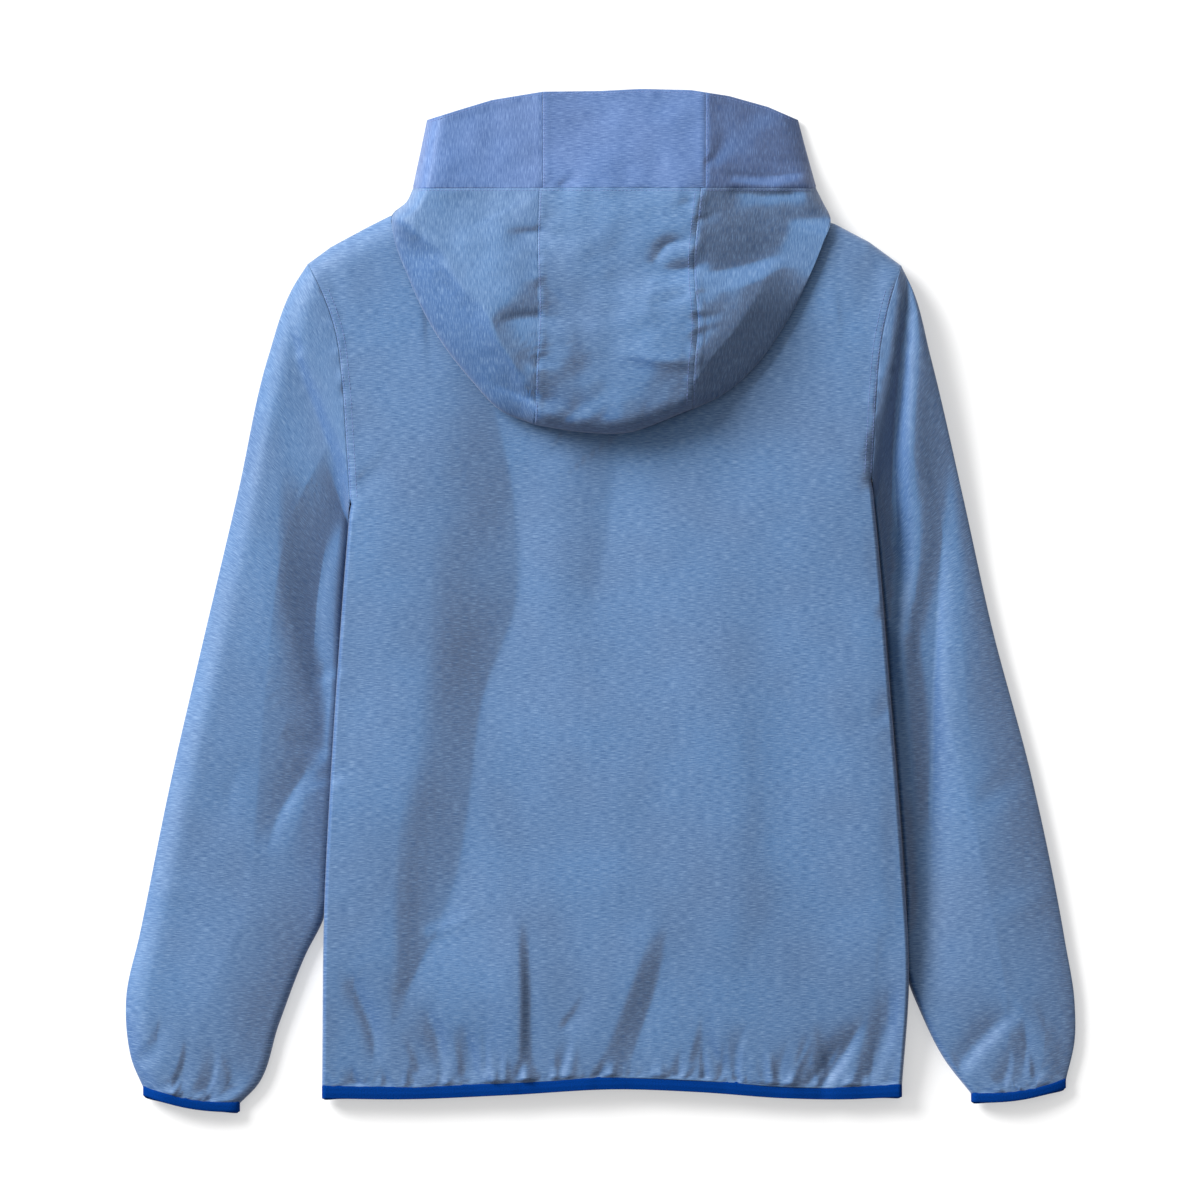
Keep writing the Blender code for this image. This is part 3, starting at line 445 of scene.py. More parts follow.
HOOD_CREASES = table(
    CREASE,
    (56, 246, 46, 241, 1, 2.6, -0.9, 0.5), (60.5, 176, 76, 178, 1, 3, -1.2, 0.5),
    (60, 164, 82, 170, -1, 3.6, -1.2, 0.5), (62, 236, 76, 243, 1, 3, -1.2, 0.5),
    (62, 190, 74, 193, 1, 2.6, -0.9, 0.5), (60, 134, 72, 141, 1, 3, -1, 0.5),
    (56, 130, 44, 122, 1, 3.4, -1.1, 0.5), (-37, 150, -24, 146, 1, 3, -0.8, 0.5),
    (-39, 146, -52, 150, 1, 3.4, -1, 0.5), (-38, 212, -50, 214, 1, 2.6, -0.7, 0.5),
    (-36, 236, -24, 240, 1, 2.6, -0.7, 0.5), (68, 272, 74, 300, 5, 4, -1.1, 0.5),
    (-8, 106, 10, 124, 2, 4, -1, 0.4), (-54, 113, -46, 126, 1, 3, -1.3, 0.5),
    (24, 107, 30, 122, 1, 3.4, -1.1, 0.5),
)
broad = [len(np.unique(rows["fold"])) for rows in (BODY_FOLDS, SLEEVE_FOLDS, HOOD_FOLDS)]
small = [len(rows["x0"]) for rows in (BODY_CREASES, HOOD_CREASES)]
print(f"{sum(broad)} broad folds, {sum(small)} small creases")

# %% [markdown]
# ## Gathers
#
# Elastic tape is sewn to the hem and cuffs while it is stretched. When it lets go, the cloth
# above it is shortened and stands up in small pleats. They aren't a sine wave: each starts at the
# tape with its own height and width and dies away after 4 to 32 mm, and now and then one is
# strong. So each pleat is drawn by itself, from a seeded draw, as a narrow ridge.

# %% Pleats of a gathered edge


def pleats(along, above, first, last, pitch, deep, tall, seed):
    """Sum of pleats at uneven places along an edge: deep * exp(-(x / w)^2) * (1 - h)^1.5, where h
    is the share of its height, x the distance from its leaning middle line and w its width, which
    narrows upwards. It grows from 0.5 to 2.5 mm above the edge. One in three is a dent instead of
    a ridge, and one in five is a strong one."""
    draw = np.random.default_rng(seed)
    count = int((last - first) / pitch)
    shape = (count, 1, 1)
    place = np.linspace(first, last, count).reshape(shape) + draw.normal(0, 0.3 * pitch, shape)
    size = deep * draw.uniform(0.3, 1.0, shape) * np.where(draw.random(shape) < 0.2, 1.7, 1)
    size *= np.where(draw.random(shape) < 0.33, -0.8, 1)
    wide = pitch * draw.uniform(0.2, 0.45, shape)
    high = tall * draw.uniform(0.5, 1.6, shape)
    lean = draw.normal(0, 0.3, shape)
    share = np.clip(above / high, 0, 1)
    size = size * step((above - 0.5) / 2)
    x = (along - place - lean * above) / (wide * (1.1 - 0.7 * share))
    return (size * np.exp(-(x**2)) * (1 - share) ** 1.5).sum(0)


HEM_PLEATS = (  # first and last place, pitch, depth, height above the edge, seed
    (-168, 186, 4.4, 1.1, 8.0, 11),
    (-164, 182, 10.0, 1.9, 20.0, 12),
)
counts = [int((last - first) / pitch) for first, last, pitch, *_ in HEM_PLEATS]
print(f"{counts[0]} small and {counts[1]} large pleats along the hem")

# %% [markdown]
# ## Heights of the lying cloth
#
# The garment's back is as high as the air under it allows, and rolls down to its side edges. The
# hood lies on the back as a flattened bag: its top is a dome that leans over in a flat facet on
# the right, its underside follows the back, and beyond the shoulder it comes down to the table.

# %% Height functions
SHOULDER_LINES = [
    np.stack([SHOULDERS["x"][:5], SHOULDERS["y"][:5]], 1),
    np.stack([SHOULDERS["x"][5:], SHOULDERS["y"][5:]], 1),
]
SHOULDER_LINE = np.stack([SHOULDERS["x"], SHOULDERS["y"]], 1)
BODY_LINES = [polyline(SIDE_LEFT), polyline(SIDE_RIGHT), *SHOULDER_LINES]
HOOD_LINE = np.concatenate(
    [
        polyline(BAND_SIDE_LEFT, 9)[::-1],
        polyline(FOLD_LEFT),
        polyline(FOLD_CROWN, 25),
        polyline(FOLD_RIGHT)[::-1],
        polyline(BAND_SIDE_RIGHT, 9),
    ]
)


def shoulder_y(x, dip):
    """The top edge of the body: the two shoulders, with a neckline that dips between them."""
    line = np.interp(x, SHOULDERS["x"], SHOULDERS["y"])
    inside = np.clip(1 - np.abs(x / NECK_HALF) ** 2.2, 0, 1)
    return line - dip * inside


def body_height(p):
    return read(BODY_HEIGHT, "height", p[..., 1])


def body_roll(p, side, shoulder):
    """Rise of the body's rolled edges: its sides within one width, its shoulders within another."""
    widths = (side, side, shoulder, shoulder)
    return np.prod([roll(away(p, line), w) for line, w in zip(BODY_LINES, widths)], axis=0)


def back_z(p, detail=0.0):
    """Edge height plus the rest, with folds, times the rise of every rolled edge."""
    full = body_height(p)
    edge = EDGE_SHARE * full + LIFT
    return edge + (full - edge + folds(p, BODY_FOLDS) + detail) * body_roll(p, ROLL_SIDE, ROLL_BACK)


def front_z(p):
    edge = EDGE_SHARE * body_height(p) - LIFT
    return edge * (1 - body_roll(p, ROLL_UNDER, ROLL_UNDER))


def past_shoulder(p):
    """Distance below the shoulder line, less than zero above it."""
    nearest = np.min([away(p, line) for line in SHOULDER_LINES], axis=0)
    outside = (np.abs(p[..., 0]) > NECK_HALF) & (p[..., 1] > shoulder_y(p[..., 0], 0))
    return np.where(outside, -nearest, nearest)


def under_hood(p):
    """What the hood lies on: the back, then a slope over the shoulder down to the table."""
    climb = step((past_shoulder(p) - CLIMB[0]) / (CLIMB[1] - CLIMB[0]))
    return (body_height(p) + HOOD_CLEAR) * climb


def hood_top_z(p, detail=0.0):
    """A dome with a flat facet right of its right seam, where the hood leans over. Its rolled edge
    lies HOOD_EDGE above the back, or above the table beyond the line of the shoulders."""
    x, y = p[..., 0], p[..., 1]
    beyond = y > shoulder_y(x, 0)
    past = away(p, SHOULDER_LINE) * np.where(beyond, -1, 1)
    edge = (body_height(p) + HOOD_CLEAR) * step((past - CLIMB[0]) / (CLIMB[1] - CLIMB[0]))
    edge += HOOD_EDGE
    seam = read(SEAM_RIGHT, "x", y)
    seam += (BRIM_SEAM_RIGHT - SEAM_RIGHT["x"][-1]) * step((y - BAND_SEAM_Y + 3) / 5)
    past = (x - seam + np.hypot(x - seam, 4)) / 2
    lean = read(LEAN, "slope", y)
    full = read(HOOD_HEIGHT, "height", y) + folds(p, HOOD_FOLDS, 1.4) + detail - lean * past
    low = 1 - step((y - 212) / 26)
    left, right = step((-32 - x) / 26) * low, step((x - 48) / 26) * low
    width = ROLL_CROWN + (ROLL_HOOD - ROLL_CROWN) * left + (ROLL_RIGHT - ROLL_CROWN) * right
    rise = roll(away(p, HOOD_LINE), width, STRAIGHT * (left + right))
    return edge + (full - edge + np.hypot(full - edge, 2)) / 2 * rise


def hood_under_z(p):
    return under_hood(p) + HOOD_EDGE * (1 - roll(away(p, HOOD_LINE), ROLL_UNDER))


def band_under_z(p):
    """The band's lower half: on the table inside the neck, and over the shoulder beside it."""
    beside = step((np.abs(p[..., 0]) - NECK_HALF) / BESIDE_NECK)
    edge = HOOD_EDGE * (1 - roll(away(p, HOOD_LINE), ROLL_UNDER))
    return under_hood(p) * beside + edge


middle = np.array([[0.0, 0.0], [0.0, 180.0]])
print(f"the back is {back_z(middle)[0]:.1f} mm high and the hood {hood_top_z(middle)[1]:.1f} mm")

# %% [markdown]
# ## From a grid of points to a piece of cloth
#
# Each piece is one grid of points: rows along it, columns across it. The grid is the outer face
# of the cloth, and a Solidify modifier gives it its thickness on the inner side. Columns stand
# close together where the cloth rolls over an edge and wide apart where it is nearly flat. A UV
# map in millimetres runs with the threads, so that the weave follows the piece. Two attributes
# say which way the cloth faces, and the material paints shade by them: the first is how far it is
# turned to the near right, away from the light, where its colour is painted greyer, and the second
# how far to the near side, where it is painted a deeper, darker blue.

# %% Grids and meshes
EDGE_STEPS = np.array([0.0, 0.15, 0.6, 1.4, 2.7, 4.5, 7.0, 10.2, 14.0, 18.5])


def across(width, count, first=EDGE_STEPS, last=EDGE_STEPS):
    """Fractions over each width: fine steps at both ends and an even run between them."""
    width = np.asarray(width, float)[..., None]
    even = np.linspace(0, 1, count)[1:-1]
    inner = first[-1] + even * (width - first[-1] - last[-1])
    left = np.broadcast_to(first, (*width.shape[:-1], len(first)))
    right = width - last[::-1]
    return np.concatenate([left, inner, right], axis=-1) / width


# Painted shade: slopes turned to the near right, away from the light, are painted greyer, and
# slopes turned to the near side are painted a deeper blue.
PAINTED_SHADE_FACINGS = {  # attribute: direction, and the slopes towards it where the change starts and ends
    "painted_shade_right": ((0.85, -0.50, 0.0), 0.0, 0.24),
    "depth": ((-0.45, -0.89, 0.0), 0.09, 0.36),
}


def facing(grid, flip, direction, start, end):
    """0 where the cloth faces up or away from this direction, 1 where it is turned towards it."""
    along = np.gradient(grid, axis=0)
    over = np.gradient(grid, axis=1)
    normal = np.cross(over, along) * (-1 if flip else 1)
    normal /= np.maximum(np.linalg.norm(normal, axis=-1, keepdims=True), 1e-9)
    return step((normal @ np.array(direction) - start) / (end - start))


def in_scene(name, data):
    """An object of this mesh, light or camera, linked to the scene."""
    made = bpy.data.objects.new(name, data)
    bpy.context.scene.collection.objects.link(made)
    return made


def cloth(name, grid, threads, material, wall, closed=False, flip=False):
    """An object from a grid of points in mm (rows x columns x 3) and its thread coordinates
    (rows x columns x 2, with one more column than the grid if the grid is a closed ring)."""
    rows, columns = grid.shape[:2]
    index = np.arange(rows * columns).reshape(rows, columns)
    if closed:
        index = np.concatenate([index, index[:, :1]], axis=1)
    on_threads = np.arange(threads[..., 0].size).reshape(threads.shape[:2])

    def corners(i):
        quads = np.stack([i[:-1, :-1], i[:-1, 1:], i[1:, 1:], i[1:, :-1]], -1).reshape(-1, 4)
        return quads[:, ::-1] if flip else quads

    mesh = bpy.data.meshes.new(name)
    mesh.from_pydata((grid.reshape(-1, 3) * MM).tolist(), [], corners(index).tolist())
    uv = mesh.uv_layers.new(name="threads")
    uv.uv.foreach_set("vector", threads.reshape(-1, 2)[corners(on_threads).ravel()].ravel())
    # Painted shade: each point stores how far it faces away from the light, to the near right and
    # to the near side, and the material darkens its colour by these.
    for attribute, way in PAINTED_SHADE_FACINGS.items():
        data = mesh.attributes.new(attribute, "FLOAT", "POINT").data
        data.foreach_set("value", facing(grid, flip, *way).ravel().astype(np.float32))
    mesh.shade_smooth()
    mesh.materials.append(material)
    piece = in_scene(name, mesh)
    solidify = piece.modifiers.new("thickness", "SOLIDIFY")
    solidify.thickness = wall * MM
    solidify.offset = -1
    ring = np.concatenate([grid, grid[:, :1]], axis=1) if closed else grid
    diagonals = ring[1:, 1:] - ring[:-1, :-1], ring[1:, :-1] - ring[:-1, 1:]
    area = np.linalg.norm(np.cross(*diagonals), axis=-1).sum() / 2
    print(f"{name}: {rows} x {columns} points, {area / 1e6:.4f} m2")
    return piece


def stand_for(piece, node):
    """The piece rides on the one body and hides its solid."""
    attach(piece, "root")
    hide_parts(node)
    return piece


# %% [markdown]
# ## Shell cloth: a two-coloured plain weave of polyester
#
# The shell is a light windproof polyester taffeta, woven from blue yarn one way and a paler,
# greyer yarn the other. Because the yarns are uneven, short pale and dark streaks run along the
# weft: this is what the eye takes for a heather cloth. The surface is half matt, with the soft
# bloom at grazing angles that fine filament gives, so the material has some sheen. One cell of the
# streaks is 6 mm long and 0.8 mm high, and one of the finest threads 5.4 by 0.4 mm. The weave
# itself is 0.3 mm, too fine to show, and is drawn at 0.7 mm.

# %% Material helpers


def linear(code):
    """sRGB hex to linear RGB: c / 12.92 below 0.04045, else ((c + 0.055) / 1.055) ^ 2.4."""
    c = np.array([int(code[i : i + 2], 16) for i in (1, 3, 5)]) / 255
    return (*np.where(c <= 0.04045, c / 12.92, ((c + 0.055) / 1.055) ** 2.4), 1.0)


def node(tree, kind, out, inputs=None, **settings):
    """Adds one node, sets its properties, sets each input to a value or links it to a socket, and
    gives the output of this name or number, or the node itself if it has none."""
    made = tree.nodes.new(kind)
    for name, value in settings.items():
        setattr(made, name, value)
    for name, value in (inputs or {}).items():
        if isinstance(value, bpy.types.NodeSocket):
            tree.links.new(value, made.inputs[name])
        else:
            made.inputs[name].default_value = value
    return made if out is None else made.outputs[out]


def new_material(name):
    material = bpy.data.materials.new(name)
    material.use_nodes = True
    material.node_tree.nodes.clear()
    return material, material.node_tree


def patterns(tree, layers):
    """Each layer of a table as a noise on the thread coordinates, which are divided by the length
    and the height of one cell of it in mm."""
    made = {}
    uv = node(tree, "ShaderNodeUVMap", "UV", uv_map="threads")
    for name, (long, high, detail, rough) in layers.items():
        scaled = {"Vector": uv, "Scale": (1 / long, 1 / high, 1)}
        place = node(tree, "ShaderNodeMapping", "Vector", scaled)
        cell = {"Vector": place, "Scale": 1.0, "Detail": detail, "Roughness": rough}
        made[name] = node(tree, "ShaderNodeTexNoise", "Fac", cell, noise_dimensions="2D")
    return made


def tinted(tree, colour, tints):
    """The colour, blended with each tint by a share that grows from 0 to most as its steering value
    goes from low to high."""
    for value, low, high, most, tint in tints:
        grow = {"Value": value, "From Min": low, "From Max": high, "To Min": 0.0, "To Max": most}
        share = node(tree, "ShaderNodeMapRange", "Result", grow)
        colour = node(tree, "ShaderNodeMix", 2, {0: share, 6: colour, 7: tint}, data_type="RGBA")
    return colour


print(f"mid grey #808080 is {linear('#808080')[0]:.3f} in linear light")

# %% The shell cloth
WEAVE = 0.7  # mm, drawn coarser than the real 0.3 mm
SHELL_LAYERS = {  # length and height of one cell in mm, detail and roughness of the noise
    "streak": (6.0, 0.8, 3.0, 0.65),
    "thread": (5.4, 0.4, 2.0, 0.6),
    "slub": (26.0, 1.3, 2.0, 0.6),
    "cloud": (70.0, 70.0, 2.0, 0.5),
    "weft": (3 * WEAVE, WEAVE, 1.0, 0.5),
    "warp": (WEAVE, 3 * WEAVE, 1.0, 0.5),
}


def shell_cloth(name, mid, pale, dark, grey_and_shade, deep):
    """Heathered taffeta: streaks of a pale and a dark yarn over the mid colour, in random greyer
    patches, with painted shade where the cloth faces away from the light, greyer to the near
    right and a deeper blue to the near side, and a faint cross weave in the bump."""
    material, tree = new_material(name)
    mid, pale, dark, grey_and_shade, deep = map(linear, (mid, pale, dark, grey_and_shade, deep))
    layer = patterns(tree, SHELL_LAYERS)
    for way in PAINTED_SHADE_FACINGS:
        layer[way] = node(tree, "ShaderNodeAttribute", "Fac", attribute_name=way)
    # cloud gives random greyer patches of the yarn; the two facing tints are painted shade, the
    # grey colour and the deep blue where the cloth is turned away from the light; the rest are the
    # weave's streaks and slubs.
    tints = (
        (layer["cloud"], 0.3, 0.7, 0.35, grey_and_shade),
        (layer["depth"], 0.0, 1.0, 0.75, deep),
        (layer["painted_shade_right"], 0.15, 1.0, 0.85, grey_and_shade),
        (layer["streak"], 0.48, 0.78, 0.28, pale),
        (layer["streak"], 0.50, 0.24, 0.32, dark),
        (layer["thread"], 0.50, 0.72, 0.9, pale),
        (layer["thread"], 0.48, 0.26, 0.9, dark),
        (layer["slub"], 0.58, 0.75, 0.14, pale),
    )
    height = layer["weft"]
    for way in ("warp", "streak"):
        height = node(tree, "ShaderNodeMath", "Value", {0: height, 1: layer[way]}, operation="ADD")
    relief = {"Height": height, "Strength": 0.35, "Distance": 0.00012}
    gloss = {"Value": layer["streak"], "From Min": 0.3, "From Max": 0.7}
    gloss |= {"To Min": 0.66, "To Max": 0.54}
    surface = {
        "Base Color": tinted(tree, mid, tints),
        "Roughness": node(tree, "ShaderNodeMapRange", "Result", gloss),
        "Normal": node(tree, "ShaderNodeBump", "Normal", relief),
        "IOR": 1.5,
        "Specular IOR Level": 0.35,
        "Sheen Weight": 0.35,
        "Sheen Roughness": 0.45,
        "Sheen Tint": linear("#b9bccb"),
    }
    shader = node(tree, "ShaderNodeBsdfPrincipled", "BSDF", surface)
    node(tree, "ShaderNodeOutputMaterial", None, {"Surface": shader})
    return material


TAFFETA, BAND_TAFFETA = (
    shell_cloth(f"polyester_taffeta_{name}", *colours)
    for name, colours in (
        # Colours: mid, pale and dark yarn, the grey yarn that also paints shade on slopes facing
        # the near right, and the deeper blue that paints shade on slopes facing the near side.
        ("heather", ("#456891", "#647fa1", "#30517a", "#4b5872", "#2c5080")),
        ("band", ("#42608f", "#5e77a1", "#2f4c7c", "#485577", "#2f4e86")),
    )
)
print("shell materials:", TAFFETA.name, BAND_TAFFETA.name)

# %% [markdown]
# ## Binding tape
#
# The hem and cuffs are bound with a folded knitted elastic in strong royal blue. It is matt, with
# fine ribs along the tape, and it is dyed through, so it hardly changes with the angle.

# %% The binding's material


def binding_tape(name, mid, dark):
    """Knitted elastic: fine ribs along the tape and small loops across it, in colour and bump."""
    material, tree = new_material(name)
    uv = node(tree, "ShaderNodeUVMap", "UV", uv_map="threads")
    place = node(tree, "ShaderNodeMapping", "Vector", {"Vector": uv, "Scale": (1, 1 / 1.4, 1)})
    wave = {"Vector": place, "Scale": 0.16, "Distortion": 0.6, "Detail": 1.0}
    ribs = node(
        tree, "ShaderNodeTexWave", "Fac", wave, wave_type="BANDS", bands_direction="Y"
    )
    loops = patterns(tree, {"loops": (0.9, 0.6, 2.0, 0.6)})["loops"]
    height = node(tree, "ShaderNodeMath", "Value", {0: ribs, 1: loops}, operation="ADD")
    relief = {"Height": height, "Strength": 0.5, "Distance": 0.00015}
    surface = {
        "Base Color": tinted(tree, linear(mid), [(loops, 0.35, 0.7, 0.8, linear(dark))]),
        "Normal": node(tree, "ShaderNodeBump", "Normal", relief),
        "Roughness": 0.85,
        "Specular IOR Level": 0.03,
    }
    shader = node(tree, "ShaderNodeBsdfPrincipled", "BSDF", surface)
    node(tree, "ShaderNodeOutputMaterial", None, {"Surface": shader})
    return material


TAPE = binding_tape("knitted_elastic_tape", "#003078", "#00265c")
print("binding material:", TAPE.name)

# %% [markdown]
# ## Back and front
#
# Both panels are lofts from hem to shoulder: a row's two ends walk up the side seams and
# armholes, and between them the row is straight, apart from the hem's and the neckline's own
# curve. The back takes the folds, creases and gathers. The front lies on the table, so it is
# plain and flat, and turns up at its edges to meet the back.

# %% The body panels
SHELL_WALL = 0.7
HEM_STEPS = np.array(
    [0, 0.5, 1.2, 2.2, 3.4, 4.8, 6.4, 8.2, 10.2, 12.4, 14.8, 17.4, 20.2, 23.2, 26.4, 30.0]
)


def body_plan(dip, side_rows, arm_rows, columns):
    """Rows from hem to shoulder and, for each, its height above the hem."""
    ends = []
    for side, arm in ((SIDE_LEFT, ARMHOLE_LEFT), (SIDE_RIGHT, ARMHOLE_RIGHT)):
        up = np.append(HEM_STEPS, np.linspace(HEM_STEPS[-1], length(side), side_rows)[1:])
        up_arm = across(length(arm), arm_rows, first=np.zeros(1))[1:]
        ends.append(np.concatenate([path(side, up / length(side)), path(arm, up_arm)]))
    left, right = ends
    corner = len(up) - 1
    t = across(np.hypot(*(right - left).T), columns)
    plan = between(left, right, t)
    above_hem = (left[:, 1] - left[0, 1])[:, None]
    share = (left[:, 1] - left[corner, 1]) / (left[-1] - left[corner])[1]
    top = left[-1] + t[..., None] * (right[-1] - left[-1])
    hem = left[0] + t[..., None] * (right[0] - left[0])
    plan[..., 1] += step(share)[:, None] * (shoulder_y(top[..., 0], dip) - top[..., 1])
    at_hem = read(HEM, "y", hem[..., 0]) - hem[..., 1]
    plan[..., 1] += (1 - step(above_hem / HEM_FADE)) * at_hem
    return plan, above_hem


def seam_dent(distance, deep=0.12, wide=1.4):
    """A sewn seam pulls the cloth down in a narrow valley: a bell across it."""
    return -deep * np.exp(-((distance / wide) ** 2))


ARM_LINES = [polyline(ARMHOLE_LEFT), polyline(ARMHOLE_RIGHT)]


def slow_waves(p):
    """The same for the back and the sleeves, so that they meet at the armholes."""
    return waves(p, 100, 0.45, 3) + waves(p, 34, 0.08, 4)


def seam_pucker(p, distance):
    """Short waves that die away beside an armhole's seam."""
    return 0.25 * waves(p, 9, 1.0, 5) * np.exp(-distance / 7)


def back_detail(p, arm_off):
    """Creases, waves, the puckers beside the armholes and the low ridge of their turned
    allowance. The sleeves' folds run out on the back within a few millimetres."""
    detail = creases(p, BODY_CREASES) + slow_waves(p) + seam_pucker(p, arm_off)
    detail += folds(p, SLEEVE_FOLDS) * np.exp(-((arm_off / 5) ** 2))
    return detail + 0.25 * step((5.5 - arm_off) / 1.6) * step(arm_off / 1.2)


plan, above_hem = body_plan(BACK_DIP, 118, 40, 206)
arm_off = np.minimum(away(plan, ARM_LINES[0]), away(plan, ARM_LINES[1]))
rise = body_roll(plan, ROLL_SIDE, ROLL_DETAIL)
hem_pleats = sum(pleats(plan[..., 0], above_hem, *row) for row in HEM_PLEATS) * rise
back_grid = with_z(
    plan, back_z(plan, back_detail(plan, arm_off)) + hem_pleats + seam_dent(arm_off) * rise
)
back_threads = back_grid[..., :2]
back = stand_for(
    cloth("cloth_back", back_grid, back_threads, TAFFETA, SHELL_WALL), "back"
)

plan, _ = body_plan(FRONT_DIP, 60, 30, 60)
front_grid = with_z(plan, front_z(plan))
front = stand_for(
    cloth("cloth_front", front_grid, plan + 400, TAFFETA, SHELL_WALL, flip=True),
    "front",
)

# %% [markdown]
# ## Sleeves
#
# A sleeve is a flattened tube. Each ring starts on the inner edge, goes over the top to the outer
# edge and comes back along the table. The first ring lies on the armhole, and the rings turn
# step by step until the last one lies along the cuff. The inner edge slips under the body where
# the sleeve comes close to it. The right sleeve's cap stands up, so its outer edge is higher there.
# At the armhole the seam allowance turns into the body and closes the seam from inside.

# %% Sleeve surfaces
CUFF_STEPS = HEM_STEPS[HEM_STEPS < 25]
TUCK_FROM = 10.4  # an inner edge that is lower than this is on its way under the body
TUCK_SLOPE = 46.0  # it climbs out of sight, and then slowly to full height over this width


def inner_rise(reach, low, full, own, tuck):
    """Rise of the inner edge: one roll where it is free or on the body, and where it is under the
    body a short climb out of sight, of the width and to the height that tuck gives, then a long
    gentle one, as a share of the whole climb."""
    free = roll(reach, ROLL_SIDE + (ROLL_TOP - ROLL_SIDE) * own)
    tucked = step((TUCK_FROM - low) / 2.5)
    first = np.maximum(tuck[1] - low, 0) / (full - low)
    slow = np.clip((reach - 2) / TUCK_SLOPE, 0, 1)
    hidden = first * roll(reach, tuck[0]) + (1 - first) * (slow + slow * (1 - slow) * 0.5)
    return free + (hidden - free) * tucked


def sleeve(side, rows, top_columns, under_columns, small, seed):
    """Rings of points for one sleeve and its thread coordinates, from armhole to cuff."""
    arm, inner_line, outer_line, out, roll_out, tuck, cap = side
    run = length(outer_line)
    s = np.linspace(0, 1 - CUFF_STEPS[-1] / run, rows)
    s = np.concatenate([[0, 0.002, 0.005], s[1:], 1 - CUFF_STEPS[-2::-1] / run])
    near = (1 - step(s / ARM_GAP_FADE))[:, None]
    inner = path(inner_line, s**INNER_LAG)
    outer = path(outer_line, s)
    outer[:, 0] += out * ARM_GAP * near[:, 0]
    width = np.hypot(*(outer - inner[:, :2]).T)
    made = []
    for columns in (top_columns, under_columns):
        t = across(width, columns)
        plan = between(inner[:, :2], outer, t)
        seam = path(arm, t)
        bow = seam - between(seam[:, 0], seam[:, -1], t)
        plan += bow * (1 - step(s / ARM_BOW_FADE))[:, None, None]
        plan[..., 0] += out * GAP * near
        hang = step((s - CUFF_FROM) / (1 - CUFF_FROM))[:, None]
        plan[..., 1] -= CUFF_BOW * 4 * t * (1 - t) * hang
        own = step(s / ARM_HEIGHT_FADE)[:, None]
        full = body_height(plan) * (1 - own) + read(SLEEVE_HEIGHT, "height", s)[:, None] * own
        full_edge = EDGE_SHARE * full
        low = inner[:, 2:]
        lift = low + (full_edge - low) * (1 - step(s / TUCK_FADE))[:, None]
        # The cap's lift grows over the first 3% of the length and is gone at 40%
        high = 1 + cap * step(s / 0.03) * (1 - step((s - 0.2) / 0.2))
        edge = lift + (full_edge * high[:, None] - lift) * step(t)
        reach_in, reach_out = t * width[:, None], (1 - t) * width[:, None]
        made.append((t, plan, full, full_edge, lift, edge, reach_in, reach_out, own))
    t, plan, full, full_edge, lift, edge, reach_in, reach_out, own = made[0]
    rise = roll(reach_out, ROLL_BACK + (roll_out - ROLL_BACK) * own, 0.5 * own)
    rise = rise * inner_rise(reach_in, lift, full, own, tuck)
    detail = creases(plan, BODY_CREASES)
    detail += slow_waves(plan)
    from_seam = s[:, None] * run
    pucker = seam_pucker(plan, from_seam)
    to_cuff = (1 - s)[:, None] * run
    gather = pleats(reach_in, to_cuff, 3, 60, 4.4, 0.6 * small, 7.0, seed + 3)
    gather += pleats(reach_in, to_cuff, 6, 56, 9.0, small, 17.0, seed + 4)
    near_edge = roll(reach_in, tuck[0]) * roll(reach_out, 10)
    bends = folds(plan, SLEEVE_FOLDS) + folds(plan, BODY_FOLDS) * np.exp(-((from_seam / 30) ** 2))
    above = edge + (full - edge + bends + detail + pucker) * rise
    above += (gather + seam_dent(from_seam)) * near_edge
    # The top layer rests on the lower one where a valley is deep, and stays under the body's edge
    beside = roll(reach_in, tuck[0]) * (1 - step((reach_in - tuck[0]) / 8))
    above = np.maximum(above, edge + np.maximum(tuck[1] - edge, 0) * beside * near_edge)
    over = with_z(plan, above)
    over_threads = np.stack([reach_in, np.broadcast_to(s[:, None] * run, reach_in.shape)], -1)
    t, plan, full, full_edge, lift, edge, reach_in, reach_out, own = made[1]
    narrow = ROLL_UNDER * np.where(t < 0.5, np.clip(lift / full_edge, 0.3, 1), 1)
    under = with_z(plan, edge * (1 - roll(reach_in, narrow) * roll(reach_out, narrow)))
    ring = np.concatenate([over, under[:, ::-1][:, 1:-1]], axis=1)
    back_to = 2 * width[:, None] - reach_in
    under_threads = np.stack([back_to, np.broadcast_to(s[:, None] * run, back_to.shape)], -1)
    threads = np.concatenate([over_threads, under_threads[:, ::-1][:, 1:]], axis=1)
    # The seam allowance turns into the body: two more rings, nearer to the seam's middle height
    seam, on_seam = ring[:1], threads[:1]
    middle = EDGE_SHARE * body_height(seam)
    for inward, share in ((0.0, 0.93), (2.0, 0.80)):
        turned = seam - [out * inward, 0, 0]
        turned[..., 2] = middle + (seam[..., 2] - middle) * share
        ring = np.concatenate([turned, ring])
        threads = np.concatenate([on_seam - [0, 1 + inward], threads])
    return ring, threads


# Armhole, inner and outer edge, which way is out, width of the outer roll, width and height of the
# climb under the body, and the lift of the cap
LEFT = (ARMHOLE_LEFT, INNER_LEFT, OUTER_LEFT, -1, 12.0, (5.0, 9.0), 0.0)
RIGHT = (ARMHOLE_RIGHT, INNER_RIGHT, OUTER_RIGHT, 1, 42.0, (3.5, 10.4), 0.6)
for name, side, seed in (("left", LEFT, 20), ("right", RIGHT, 40)):
    grid = sleeve(side, 170, 58, 8, 1.9, seed)
    flip = name == "right"
    piece = cloth(f"cloth_sleeve_{name}", *grid, TAFFETA, SHELL_WALL, closed=True, flip=flip)
    stand_for(piece, f"sleeve_{name}")

